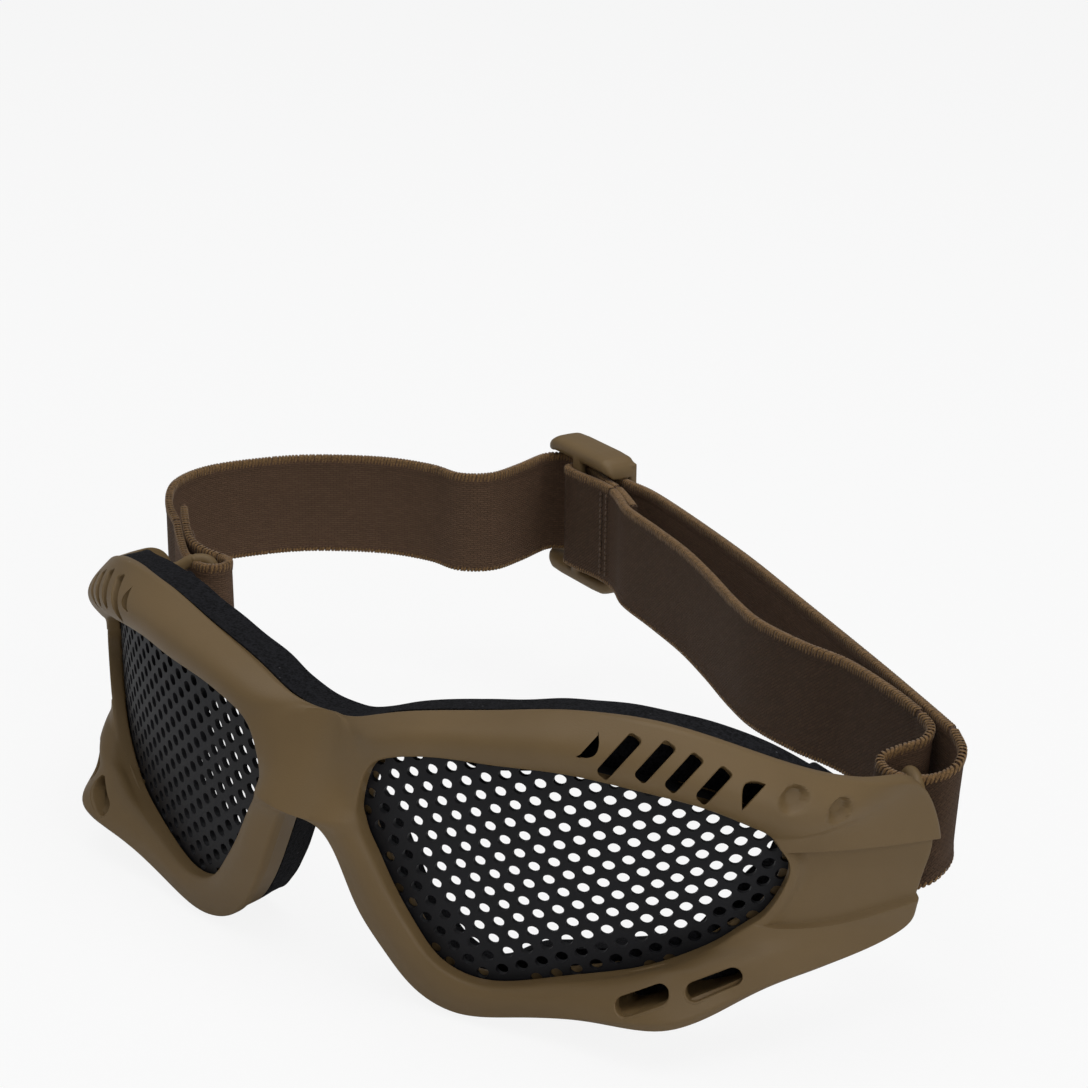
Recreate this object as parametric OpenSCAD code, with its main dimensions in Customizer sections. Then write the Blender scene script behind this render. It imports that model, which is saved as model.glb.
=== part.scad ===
// Mesh-lens goggles: a wraparound moulded frame, two perforated sheets, a foam pad,
// two strap bars, a webbing strap that is doubled on one side, and its slider.
// Millimetres. +Z is up, +Y points to the wearer's head, X = 0 is the plane of symmetry.

/* [Frame] */
// Radius of the upright cylinder that both eye openings lie on
wrap_r = 115.4; // [110:0.2:122]
// Thickness of the moulded front
shell_t = 2.4; // [2:0.1:2.8]
// How strongly the front bulges between the eye openings and the outline
crown_gain = 1; // [0.8:0.05:1.15]
// Depth of the channel along each temple
channel_d = 1.5; // [0.5:0.1:1.8]
// Thickness of the wall that carries the foam pad
seat_wall = 2.2; // [1.8:0.1:2.6]

/* [Vents] */
// Width of the slanted slots in the brow
vent_w = 2.6; // [2.2:0.1:3]
// Length of the slanted slots in the brow
vent_len = 7.6; // [6.6:0.1:8]
// Width of the oval slots near the chin
low_vent_w = 3.2; // [2.8:0.1:3.8]

/* [Mesh] */
// Thickness of the mesh sheets
mesh_t = 0.6; // [0.5:0.05:0.65]
// How far the retaining flange reaches inside the eye opening
flange_in = 1.2; // [0.8:0.1:2]

/* [Foam pad] */
// Width of the foam band
foam_w = 4.8; // [4:0.1:5]
// How much wider the foam is behind the brow's vents
foam_vents = 1; // [0:0.1:1.4]
// How much wider the foam is at the temples
foam_temple = 3.6; // [1:0.2:4]
// Depth of the foam band from its seat to the face
foam_d = 6.8; // [6:0.1:8]

/* [Strap] */
// Width of the webbing
strap_w = 20; // [18:0.5:20]
// Thickness of the webbing
strap_t = 1.3; // [1.1:0.05:1.4]
// Radius of the bars that the strap is looped on
bar_r = 1.5; // [1.2:0.05:1.6]

/* [Slider] */
// Length of the slider along the strap
slider_len = 18.6; // [17.6:0.2:20]
// Height of the slider's two thick ends
slider_end = 2.9; // [2.4:0.1:3.4]
// Corner radius of the slider
slider_corner = 3.6; // [2:0.2:5]

/* [Hidden] */
$fn = 48;
front_y = -13.7;
tan_color = [0.40, 0.34, 0.23];
web_color = [0.24, 0.18, 0.14];
// One row a station round the right eye, from the middle of the bridge over the brow:
// opening x, opening z, outline x, outline y, outline z, bulge.
ST = [[10.7, 5.7, 0, -12.4, 9.3, 1], [12.7, 11.8, 0, -7.6, 17, 1.5],
  [17.5, 15.1, 7.2, -8.4, 18.3, 2], [25.8, 16.8, 16.5, -7.2, 21.3, 2.5],
  [35, 17.2, 31, -3.7, 24.2, 3], [45.3, 17.4, 43.3, -0.9, 26.5, 3.3],
  [55.6, 16.9, 56.1, 2.6, 26.7, 3.5], [63.9, 14.8, 66.4, 8.9, 23.7, 3.8],
  [69, 12, 75.5, 17.2, 19.2, 4], [71.5, 10, 82.3, 27.3, 15.8, 3.6],
  [72.8, 8.6, 84.2, 36.3, 12.3, 2.4], [73.7, 6.8, 85.7, 39.6, 3.2, 1.6],
  [74.7, 3.2, 85, 38.5, -2.5, 1.4], [72.5, -3, 83.8, 37, -7.8, 1.5],
  [70, -5.8, 82.8, 35.7, -11.5, 2.2], [66.5, -9, 80.4, 26, -13, 3.4],
  [62.6, -11.6, 75.7, 14.2, -14.2, 4.4], [58.2, -13.9, 70, 5, -17, 4.4],
  [53, -15.7, 64, -4, -19, 2.2], [45.3, -17.7, 51.5, -6.4, -21.6, 1],
  [37, -20.1, 39, -8.3, -24.7, 1], [30.4, -20.6, 29, -10, -26.8, 1],
  [24.7, -18.5, 20.6, -11.1, -24.7, 1], [20.6, -14, 15, -12.3, -19, 1.2],
  [16.5, -8, 10.8, -13.7, -12.4, 1.4], [13.5, -2.5, 7.4, -14.3, -5, 1.5],
  [11.8, 0.5, 4, -15.5, 0.5, 1.4], [10.9, 3.2, 0, -17.2, 2.1, 1.2]];
n_st = len(ST);
// For the stations from 1 on: place of the pad's seat between opening and outline, and how far
// behind the opening it lies.
SEAT = [[0.93, 6.2], [0.93, 5], [0.97, 4.7], [0.97, 5.4], [0.97, 4.3], [0.97, 2.8], [0.95, 4.1],
  [0.75, 5.8], [0.4, 7.4], [0.24, 7.3], [0.2, 7.1], [0.2, 6.3], [0.22, 7.6], [0.25, 9],
  [0.35, 10.1], [0.55, 10.7], [0.75, 9.9], [0.92, 9.3], [0.96, 7.2], [0.96, 7.9], [0.96, 8.1],
  [0.96, 8.4], [0.96, 8], [0.96, 7.3], [0.96, 7.1], [0.96, 6.1], [0.96, 4.6]];
// Steps of the ring, closer together where the temple channel begins and ends
US = concat([for (k = [0:1:21]) k / 2], [11, 11.2, 11.7, 12.3, 12.75, 12.95],
  [for (k = [27:1:55]) k / 2]);
SS = [0, 0.1, 0.24, 0.4, 0.56, 0.72, 0.87, 1];
SB = [1, 0.66, 0.33, 0];

function ramp(x, a, b) = let (t = max(0, min(1, (x - a) / (b - a)))) t * t * (3 - 2 * t);
function spline(a, b, c, d, f) = 0.5 * (2 * b + (c - a) * f + (2 * a - 5 * b + 4 * c - d) * f * f
  + (3 * b - a - 3 * c + d) * f * f * f);
function unit(v) = v / norm(v);
function row(k) = ST[(k + n_st) % n_st];
function ring_row(u) = let (i = floor(u)) spline(row(i - 1), row(i), row(i + 1), row(i + 2), u - i);
// A point of the eye opening's line, at a depth behind the cylinder that it lies on
function wrapped(x, z, depth) = let (a = asin(x / wrap_r))
  [(wrap_r - depth) * sin(a), front_y + wrap_r - (wrap_r - depth) * cos(a), z];
function opening(u) = let (r = ring_row(u)) [r[0], r[1]];
function eye(u, depth) = let (p = opening(u)) wrapped(p[0], p[1], depth);
// The outline, mirrored past the two places where it meets the plane of symmetry
function edge_row(k) = k < 1 ? [-ST[2][2], ST[2][3], ST[2][4]]
  : k >= n_st ? [-ST[n_st - 2][2], ST[n_st - 2][3], ST[n_st - 2][4]]
  : [ST[k][2], ST[k][3], ST[k][4]];
function bridge(g) = let (a = edge_row(n_st - 1), b = [0, ST[0][3], ST[0][4]], c = edge_row(1))
  a * (1 - g) * (1 - g) + 2 * (2 * b - 0.5 * a - 0.5 * c) * g * (1 - g) + c * g * g;
function outline(u) = u <= 1 ? bridge((u + 1) / 2) : u >= n_st - 1 ? bridge((u - n_st + 1) / 2)
  : let (i = min(floor(u), n_st - 2))
    spline(edge_row(i - 1), edge_row(i), edge_row(i + 1), edge_row(i + 2), u - i);
function outer(u) = outline(u) - (u <= 1 || u >= n_st - 1 ? [1.5, 0, 0] : [0, 0, 0]);
function wrap_u(u) = u < 0 ? u + n_st : u >= n_st ? u - n_st : u;
function middle(u) = eye(wrap_u(u), 0) + outline(wrap_u(u));
function outward(u) = unit(cross(middle(u + 0.25) - middle(u - 0.25), outline(u) - eye(u, 0)));
function channel(u, s) = channel_d * ramp(u, 11, 11.2) * (1 - ramp(u, 12.75, 12.95))
  * ramp(s, 0.05, 0.25);
// How much a step of the ring belongs to the bridge, where the front is level across X = 0
function bridging(u) = u < 14 ? 1 - ramp(u, 1, 2.2) : ramp(u, n_st - 2.2, n_st - 1);
function front(u, s) = let (e = eye(u, 0), n = outward(u), d = outer(u) - e, w = bridging(u),
    g = s + w * (s - s * s)) e + [d[0] * s, d[1] * g, d[2] * g] + n * (crown_gain * ring_row(u)[5]
    * ((1 - w) * sin(180 * pow(s, 0.75)) + w * 6.75 * s * pow(1 - s, 2)) - channel(u, s));
// Direction into the material: towards the cylinder's axis at the opening, square to the
// front further out
function inward(u, s) = let (e = eye(u, 0)) unit((eye(u, 1) - e) * (1 - ramp(s, 0, 0.4))
  - outward(u) * ramp(s, 0, 0.4));
function shell_section(u) = let (o = front(u, 1), b = o + shell_t * inward(u, 1),
    away = unit(outer(u) - eye(u, 0)))
  concat([for (s = SS) front(u, s)], [(o + b) / 2 + 0.45 * (1 - bridging(u)) * away],
    [for (s = SB) front(u, s) + shell_t * inward(u, s)]);
// Joins rings of points into a closed loop or into an open bar with flat ends
module skin(rings, closed) {
  m = len(rings[0]);
  n = len(rings);
  last = closed ? n - 1 : n - 2;
  sides = [for (i = [0:1:last], j = [0:1:m - 1])
    let (k = (i + 1) % n, l = (j + 1) % m) each [[i * m + j, k * m + l, k * m + j],
      [i * m + j, i * m + l, k * m + l]]];
  caps = closed ? [] : [[for (j = [m - 1:-1:0]) j], [for (j = [0:1:m - 1]) (n - 1) * m + j]];
  polyhedron(points = [for (r = rings) each r], faces = concat(sides, caps));
}
// Unit normal of the eye opening's outline in X and Z, away from the opening
function opening_normal(u) = let (d = opening(wrap_u(u + 0.2)) - opening(wrap_u(u - 0.2)))
  unit([-d[1], d[0]]);
function beside_opening(u, off, depth) = let (p = opening(u) + off * opening_normal(u))
  wrapped(p[0], p[1], depth);
function eye_band(u, inner, outer_off, front_d, back_d) = [beside_opening(u, inner, front_d),
  beside_opening(u, outer_off, front_d), beside_opening(u, outer_off, back_d),
  beside_opening(u, inner, back_d)];
// The wall round each mesh, rooted in the moulded front
function pocket_section(u) = let (l = norm(outer(u) - eye(u, 0)), a = min(0.8, 1.8 / l),
    b = min(0.95, 3 / l)) [front(u, a) + 0.42 * shell_t * inward(u, a),
  front(u, b) + 0.42 * shell_t * inward(u, b), beside_opening(u, 3, 4.4),
  beside_opening(u, 1.8, 4.4)];
function seat_row(k) = let (q = SEAT[max(1, min(n_st - 1, k)) - 1], e = row(k))
  k < 1 ? let (r = seat_row(2)) [-r[0], r[1], r[2], r[3]]
  : k >= n_st ? let (r = seat_row(n_st - 2)) [-r[0], r[1], r[2], r[3]]
  : [k == 1 || k == n_st - 1 ? 0 : e[0] + (e[2] - e[0]) * q[0],
    q[1] + wrapped(e[0], 0, 0)[1], e[1] + (e[4] - e[1]) * q[0] + (k == 1 ? -0.4 : k == n_st - 1 ? 0.35 : 0), q[0]];
function seat(u) = let (i = min(floor(u), n_st - 2))
  spline(seat_row(i - 1), seat_row(i), seat_row(i + 1), seat_row(i + 2), u - i);
function seat_normal(u) = let (a = seat(max(1, u - 0.15)), b = seat(min(n_st - 1, u + 0.15)),
    d = unit([b[0] - a[0], b[2] - a[2]])) u <= 1 ? [0, -1] : u >= n_st - 1 ? [0, 1] : [d[1], -d[0]];
function seat_point(u, off, y) = let (p = seat(u), n = seat_normal(u))
  [p[0] + off * n[0] - (u <= 1 || u >= n_st - 1 ? 1.5 : 0), y, p[2] + off * n[1]];
UB = [for (u = US) if (u >= 1 && u <= n_st - 1) u];
function seat_section(u) = let (p = seat(u), l = norm(outline(u) - eye(u, 0)), s = p[3],
    t = max(0.1, s - seat_wall / l)) [front(u, t) + 0.46 * shell_t * inward(u, t),
  front(u, s) + 0.46 * shell_t * inward(u, s), seat_point(u, 0, p[1]),
  seat_point(u, seat_wall, p[1])];
function foam_width(u) = foam_w + foam_vents * ramp(u, 3, 3.8) * (1 - ramp(u, 8.2, 9))
  + foam_temple * ramp(u, 8.4, 10) * (1 - ramp(u, 14, 16));
function foam_section(u) = let (y = seat(u)[1], w = foam_width(u)) [seat_point(u, w, y + 0.05),
  seat_point(u, 0, y + 0.05), seat_point(u, 0.2, y + foam_d), seat_point(u, w - 0.2, y + foam_d)];

// A slot cutter: a stadium with its long side from one point to another, cut along a direction
module slot_at(low, high, across, width) {
  a = unit(high - low);
  n = unit(across - a * (a * across));
  b = cross(n, a);
  c = (low + high) / 2;
  half = max(0.1, norm(high - low) / 2 - width / 2);
  multmatrix([[a[0], b[0], n[0], c[0]], [a[1], b[1], n[1], c[1]], [a[2], b[2], n[2], c[2]]]) {
    translate([0, 0, -6])
      linear_extrude(height = 12)
        offset(r = width / 2, $fn = 16)
          square([2 * half, 0.02], center = true);
  }
}

module half_moon(center, up, across, side, r) {
  a = unit(up);
  n = unit(across - a * (a * across));
  b = cross(n, a);
  multmatrix([[a[0], b[0], n[0], center[0]], [a[1], b[1], n[1], center[1]],
      [a[2], b[2], n[2], center[2]]]) {
    intersection() {
      translate([0, side * r * 0.35, -6])
        cylinder(r = r, h = 12, $fn = 20);
      translate([-5, side > 0 ? -5 + r * 0.2 : -r * 0.2, -7])
        cube([10, 5, 14]);
    }
  }
}

function vent_axis() = unit([0.25, 0.75, 0.61]);
module vents() {
  across = [0.3, -0.72, 0.62];
  for (c = [[52.75, -1.6, 22.4], [57.75, 0.3, 21.8], [62.15, 1.7, 20.9], [66.5, 3.5, 19.6]]) {
    slot_at(c - vent_axis() * vent_len / 2, c + vent_axis() * vent_len / 2, across, vent_w);
  }
  half_moon([49, -2.9, 22.8], vent_axis(), across, -1, 2.3);
  half_moon([70.9, 6.8, 17.8], vent_axis(), across + [0.2, 0, 0], 1, 2.9);
  slot_at([55.5, -4.2, -18.5], [63, -0.2, -14.6], [0.45, -0.85, -0.25], low_vent_w);
  slot_at([65, 0.4, -15.2], [72.3, 5.2, -11.4], [0.6, -0.75, -0.2], low_vent_w);
}

module frame_half() {
  difference() {
    skin([for (u = US) shell_section(u)], true);
    vents();
    for (c = [[76.6, 13.1, 16.4], [80.6, 19.8, 12.9]]) {
      translate(c)
        sphere(r = 1.5, $fn = 12);
    }
  }
  skin([for (u = US) pocket_section(u)], true);
  skin([for (u = UB) seat_section(u)], false);
}

// Both halves as one mesh: a resize of 0 keeps every size as it is
module frame() {
  color(tan_color)
    resize([0, 0, 0]) {
      right_half();
      mirror([1, 0, 0])
        right_half();
    }
}
module right_half() {
  intersection() {
    frame_half();
    translate([0, -60, -60])
      cube([120, 160, 120]);
  }
}

bar = [76.6, 43.3];
strap_z = 1.2;
arm_top = strap_z + strap_w / 2 + 0.6 + bar_r;
arm_low = strap_z - strap_w / 2 - 0.6 - bar_r;
bend_r = 2.2;
// The right strap bar: an upright rod with two bends and two arms that run into the plate
module strap_bar() {
  translate([bar[0], bar[1], arm_low + bend_r])
    cylinder(r = bar_r, h = arm_top - arm_low - 2 * bend_r);
  translate([bar[0], bar[1], 0]) {
    rotate([0, 0, -40.4]) {
      translate([bend_r, 0, arm_top - bend_r]) {
        rotate([90, 0, 0]) {
          rotate([0, 0, 90])
            rotate_extrude(angle = 90)
              translate([bend_r, 0])
                circle(r = bar_r);
        }
      }
      translate([bend_r, 0, arm_low + bend_r]) {
        rotate([90, 0, 0]) {
          rotate([0, 0, 180])
            rotate_extrude(angle = 90)
              translate([bend_r, 0])
                circle(r = bar_r);
        }
      }
      for (z = [arm_top, arm_low]) {
        translate([bend_r, 0, z])
          rotate([0, 90, 0])
            cylinder(r = bar_r, h = 6.6);
      }
    }
  }
}
module strap_bar_right() {
  color(tan_color)
    strap_bar();
}
module strap_bar_left() {
  color(tan_color)
    mirror([1, 0, 0])
      strap_bar();
}

module mesh() {
  color([0.1, 0.1, 0.12])
    sheet();
}
// How far the mesh and its flange reach past the opening's line, inside their wall
mesh_reach = 1;
// The mesh as a plain sheet: rows of points between the opening's upper and lower line
function grid_point(u, f, depth) = let (a = beside_opening(u, mesh_reach, 0), b = [42, -4])
  wrapped(b[0] + (a[0] - b[0]) * f, b[1] + (a[2] - b[1]) * f, depth);
module sheet() {
  fs = [1, 0.93, 0.75, 0.5, 0.25];
  us = [for (k = [0:1:n_st * 2 - 1]) k / 2];
  n = len(us);
  m = len(fs);
  pts = concat([for (u = us, f = fs) grid_point(u, f, 2.9)],
    [for (u = us, f = fs) grid_point(u, f, 2.9 + mesh_t)],
    [wrapped(42, -4, 2.9), wrapped(42, -4, 2.9 + mesh_t)]);
  function id(i, j, side) = side * n * m + (i % n) * m + j;
  front_faces = [for (i = [0:1:n - 1], j = [0:1:m - 2]) each
    [[id(i, j, 0), id(i, j + 1, 0), id(i + 1, j + 1, 0)],
      [id(i, j, 0), id(i + 1, j + 1, 0), id(i + 1, j, 0)]]];
  back_faces = [for (i = [0:1:n - 1], j = [0:1:m - 2]) each
    [[id(i, j, 1), id(i + 1, j + 1, 1), id(i, j + 1, 1)],
      [id(i, j, 1), id(i + 1, j, 1), id(i + 1, j + 1, 1)]]];
  rim_faces = [for (i = [0:1:n - 1]) each [[id(i, 0, 0), id(i + 1, 0, 0), id(i + 1, 0, 1)],
    [id(i, 0, 0), id(i + 1, 0, 1), id(i, 0, 1)]]];
  hub_faces = [for (i = [0:1:n - 1]) each [[id(i, m - 1, 0), 2 * n * m, id(i + 1, m - 1, 0)],
    [id(i, m - 1, 1), id(i + 1, m - 1, 1), 2 * n * m + 1]]];
  all_faces = concat(front_faces, back_faces, rim_faces, hub_faces);
  polyhedron(points = pts, faces = [for (f = all_faces) [f[2], f[1], f[0]]]);
}
module mesh_right() {
  mesh();
}
module mesh_left() {
  mirror([1, 0, 0])
    mesh();
}
module flange() {
  color(tan_color)
    skin([for (k = [0:1:n_st * 2 - 1]) eye_band(k / 2, -flange_in, mesh_reach, 2.97 + mesh_t, 4.3)],
      true);
}
module mesh_rim_right() {
  flange();
}
module mesh_rim_left() {
  mirror([1, 0, 0])
    flange();
}
module foam_pad() {
  color([0.13, 0.13, 0.15]) {
    for (side = [0, 1]) {
      mirror([side, 0, 0])
        skin([for (u = UB) foam_section(u)], false);
    }
  }
}

// The slider's own frame: its middle, and the direction of the strap through it
slider_at = [-44, 118];
slider_turn = -20;
slider_z = 8.3;
function at_slider(x, y, z) = [slider_at[0] + x * cos(slider_turn) - y * sin(slider_turn),
  slider_at[1] + x * sin(slider_turn) + y * cos(slider_turn), z];
// Webbing along a route of points, smoothed and upright, shortened at either end on request
function route(p, steps) = let (n = len(p), q = concat([2 * p[0] - p[1]], p, [2 * p[n - 1] - p[n - 2]]))
  concat([for (i = [0:1:n - 2], k = [0:1:steps - 1])
    spline(q[i], q[i + 1], q[i + 2], q[i + 3], k / steps)], [p[n - 1]]);
function web_section(p, i) = let (n = len(p), d = p[min(n - 1, i + 1)] - p[max(0, i - 1)],
    t = unit([d[0], d[1]]) * strap_t / 2, w = strap_w / 2)
  [p[i] + [-t[1], t[0], -w], p[i] + [t[1], -t[0], -w], p[i] + [t[1], -t[0], w],
    p[i] + [-t[1], t[0], w]];
function trimmed(p, a, b) = let (n = len(p)) [for (i = [0:1:n - 1])
  i == 0 ? p[0] + a * unit(p[1] - p[0]) : i == n - 1 ? p[i] + b * unit(p[i - 1] - p[i]) : p[i]];
module web(points, a, b) {
  p = trimmed(route(points, 4), a, b);
  color(web_color)
    skin([for (i = [0:1:len(p) - 1]) web_section(p, i)], false);
}

// Where the routes of neighbouring pieces meet
LEFT_JOIN = [-90.5, 47.6, 5];
RIGHT_JOIN = [82, 51, 7.2];
INNER_JOIN = [72.5, 52.6, 7.2];
LOOP_JOIN = at_slider(14.5, -5.1, slider_z);
TAIL_JOIN = at_slider(14.5, -3.7, slider_z);

module left_loop() {
  web([LEFT_JOIN, [-86.6, 44.7, 2.9], [-82.5, 42, 1.6], [-78.6, 40.6, strap_z],
    [-75.3, 40.6, strap_z], [-73.6, 42.6, strap_z], [-74.5, 45.4, strap_z],
    [-77.4, 46.3, strap_z], [-81.4, 45.7, 1.8], [-85.4, 46.1, 3], [-89.6, 49, 5],
    [-93.4, 52.4, 6.4]], 0, 0);
}
module strap_single_run() {
  web([LEFT_JOIN, [-96.2, 51.2, 6.8], [-100.6, 57.5, 8.2], [-102, 67.5, 8.3], [-97.6, 78, 8.3],
    [-91, 86.5, 8.3], [-79.5, 94.2, 8.3], [-69, 96.8, 8.3], [-61, 96.2, 8.3],
    [-56, 100.5, 8.3], [-55.4, 108, 8.3], at_slider(-10.7, -5.2, 8.3),
    at_slider(-9.6, -1.7, 8.3), at_slider(-7, -0.2, 8.3), at_slider(-4, 0, 8.3)], 0.3, 0);
}
module strap_outer_run() {
  web([at_slider(-4, 0, slider_z), at_slider(0, 0, slider_z), at_slider(12, 0, slider_z),
    at_slider(24, 0, slider_z), [8, 94, 8.3], [31.9, 80, 8.1], [56.7, 66.2, 7.8],
    [72.5, 56.8, 7.5], RIGHT_JOIN], 0.02, 0.3);
}
module strap_bar_wrap() {
  web([RIGHT_JOIN, [85.6, 47.4, 6], [86, 44.2, 4], [82.8, 42.1, 2.2], [78, 40.7, 1.4],
    [74, 40.8, 1.6], [71.8, 42.6, 2.5], [73.6, 44.9, 3.8], [76.3, 47, 5.2],
    [76, 49.9, 6.4], INNER_JOIN], 0, 0);
}
module strap_inner_run() {
  web([INNER_JOIN, [65, 56.2, 7.8], [53, 61.5, 8], [42, 63.8, 8], [31, 67.5, 8], [22, 73, 8],
    [11, 81, 8.1], [0, 88.4, 8.2], [-12, 95, 8.3], at_slider(26, -9, slider_z),
    at_slider(19, -6.4, slider_z), LOOP_JOIN], 0.3, 0.3);
}
module slider_end_loop() {
  web([LOOP_JOIN, at_slider(9, -4.9, slider_z), at_slider(4, -5.5, slider_z),
    at_slider(0, -5.6, slider_z), at_slider(-1.9, -5.2, slider_z),
    at_slider(-2.55, -3.7, slider_z), at_slider(-1.9, -2.3, slider_z),
    at_slider(0, -1.85, slider_z), at_slider(4, -2, slider_z),
    at_slider(9, -3.1, slider_z), TAIL_JOIN], 0, 0);
}
module strap_tail() {
  web([TAIL_JOIN, at_slider(18, -4.7, slider_z), at_slider(22, -6, slider_z),
    at_slider(25.5, -7.2, slider_z)], 0.25, 0);
}
// Two columns of thread, seen as short raised bars across the webbing
module stitches(length, pitch) {
  count = floor((strap_w - 3) / pitch);
  color([0.3, 0.24, 0.18]) {
    for (x = [0, length], k = [0:1:count]) {
      translate([x, 0, (k - count / 2) * pitch])
        cube([0.6, 0.7, pitch * 0.62], center = true);
    }
  }
}
module slider_stitching() {
  translate(at_slider(11.2, -5.45, slider_z))
    rotate([0, 0, slider_turn])
      stitches(2, 2.4);
}
module left_loop_stitching() {
  translate([-87.9, 48.25, 4.2])
    rotate([0, 0, 143])
      stitches(2, 2.4);
}

slider_h = strap_w + 1.8 + 2 * slider_end;
module slider() {
  window = slider_h - 2 * slider_end;
  color([0.42, 0.38, 0.27])
    translate([slider_at[0], slider_at[1], slider_z])
      rotate([0, 0, slider_turn]) {
        intersection() {
          translate([0, 3, 0])
            rotate([90, 0, 0])
              linear_extrude(height = 7.6)
                slider_face();
          for (s = [-1, 1]) {
            translate([-slider_len / 2, -0.8, s * (slider_h - slider_end) / 2])
              rotate([0, 90, 0])
                linear_extrude(height = slider_len)
                  slider_end_profile();
          }
        }
        for (s = [-1, 1]) {
          translate([s * (slider_len / 2 - 1.2) - 1.2, 1.1, -window / 2 - 1])
            cube([2.4, 1.8, window + 2]);
        }
        translate([-1.5, -4.6, -window / 2 - 1])
          cube([3, 1.8, window + 2]);
      }
}
module slider_face() {
  for (x = [-1, 1], z = [-1, 1]) {
    translate([x * (slider_len / 2 - slider_corner), z * (slider_h / 2 - slider_corner)])
      circle(r = slider_corner);
  }
  square([slider_len, slider_h - 2 * slider_corner], center = true);
  square([slider_len - 2 * slider_corner, slider_h], center = true);
}
module slider_end_profile() {
  for (y = [-1, 1]) {
    translate([0, y * (3.8 - slider_end / 2)])
      circle(r = slider_end / 2);
  }
  square([slider_end, 7.6 - slider_end], center = true);
}

frame();
strap_bar_left();
strap_bar_right();
mesh_left();
mesh_right();
mesh_rim_left();
mesh_rim_right();
foam_pad();
left_loop();
left_loop_stitching();
strap_single_run();
strap_outer_run();
strap_bar_wrap();
strap_inner_run();
slider_end_loop();
slider_stitching();
strap_tail();
slider();
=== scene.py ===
"""Mesh-lens goggles: moulded front, perforated lenses, foam pad, bars, webbing and slider."""

from math import cos, pi, radians, sin

import bmesh
import bpy
import numpy as np
from bpy.props import FloatProperty, FloatVectorProperty, PointerProperty
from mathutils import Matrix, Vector
from mathutils.geometry import delaunay_2d_cdt


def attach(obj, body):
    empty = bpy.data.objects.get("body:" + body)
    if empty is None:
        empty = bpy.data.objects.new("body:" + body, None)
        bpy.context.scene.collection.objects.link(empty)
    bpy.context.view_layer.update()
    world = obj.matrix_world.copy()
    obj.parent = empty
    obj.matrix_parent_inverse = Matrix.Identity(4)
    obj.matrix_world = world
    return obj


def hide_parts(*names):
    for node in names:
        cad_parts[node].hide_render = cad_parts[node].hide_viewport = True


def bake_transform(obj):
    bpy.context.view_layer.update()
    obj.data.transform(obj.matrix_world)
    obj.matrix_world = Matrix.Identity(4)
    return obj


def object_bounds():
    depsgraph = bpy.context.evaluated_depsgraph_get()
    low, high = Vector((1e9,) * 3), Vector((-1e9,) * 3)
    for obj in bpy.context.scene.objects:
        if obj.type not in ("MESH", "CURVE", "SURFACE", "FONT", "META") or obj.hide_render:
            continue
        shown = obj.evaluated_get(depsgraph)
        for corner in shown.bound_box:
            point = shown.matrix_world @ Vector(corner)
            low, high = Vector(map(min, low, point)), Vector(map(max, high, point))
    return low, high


bl_info = {
    "name": "Mesh-Lens Goggles",
    "version": (1, 0, 0),
    "blender": (4, 5, 0),
    "location": "3D View > Sidebar > Goggles",
    "description": "Builds a pair of mesh-lens goggles with foam pad, webbing strap and slider",
    "category": "Add Mesh",
}

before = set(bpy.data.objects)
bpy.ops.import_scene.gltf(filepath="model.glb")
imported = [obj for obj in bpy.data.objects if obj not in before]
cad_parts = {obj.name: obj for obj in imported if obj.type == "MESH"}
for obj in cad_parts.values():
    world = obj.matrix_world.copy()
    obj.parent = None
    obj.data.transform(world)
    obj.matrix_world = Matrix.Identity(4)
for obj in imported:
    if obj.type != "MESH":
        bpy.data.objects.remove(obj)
CAD_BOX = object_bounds()
MM = 0.001

# One row a station round the right eye: opening x, opening z, outline x, y, z, bulge
STATIONS = np.array([
    [10.7, 5.7, 0, -12.4, 9.3, 1], [12.7, 11.8, 0, -7.6, 17, 1.5],
    [17.5, 15.1, 7.2, -8.4, 18.3, 2],
    [25.8, 16.8, 16.5, -7.2, 21.3, 2.5], [35, 17.2, 31, -3.7, 24.2, 3],
    [45.3, 17.4, 43.3, -0.9, 26.5, 3.3], [55.6, 15.9, 56.1, 2.6, 26.7, 3.5],
    [63.9, 13.8, 66.4, 8.9, 23.7, 3.8], [69, 11.4, 75.5, 17.2, 19.2, 4],
    [71.5, 10, 82.3, 27.3, 15.8, 3.6], [72.8, 8.6, 84.2, 36.3, 12.3, 2.4],
    [73.7, 6.8, 85.7, 39.6, 3.2, 1.6], [74.7, 3.2, 85, 38.5, -2.5, 1.4],
    [72.5, -3, 83.8, 37, -7.8, 1.5], [70, -5.8, 82.8, 35.7, -11.5, 2.2],
    [66.5, -9, 80.4, 26, -13, 3], [62.6, -11.6, 75.7, 14.2, -14.2, 3.2],
    [58.2, -13.9, 70, 5, -17, 3], [53, -15.7, 64, -4, -19, 1.8],
    [45.3, -17.7, 51.5, -6.4, -21.6, 1], [37, -20.1, 39, -8.3, -24.7, 1],
    [30.4, -20.6, 29, -10, -26.8, 1], [24.7, -18.5, 20.6, -11.1, -24.7, 1],
    [20.6, -14, 15, -12.3, -19, 1.2], [16.5, -8, 10.8, -13.7, -12.4, 1.4],
    [13.5, -2.5, 7.4, -14.3, -5, 1.5], [11.8, 0.5, 4, -15.5, 0.5, 1.4],
    [10.9, 3.2, 0, -17.2, 2.1, 1.2]])
COUNT = len(STATIONS)
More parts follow.
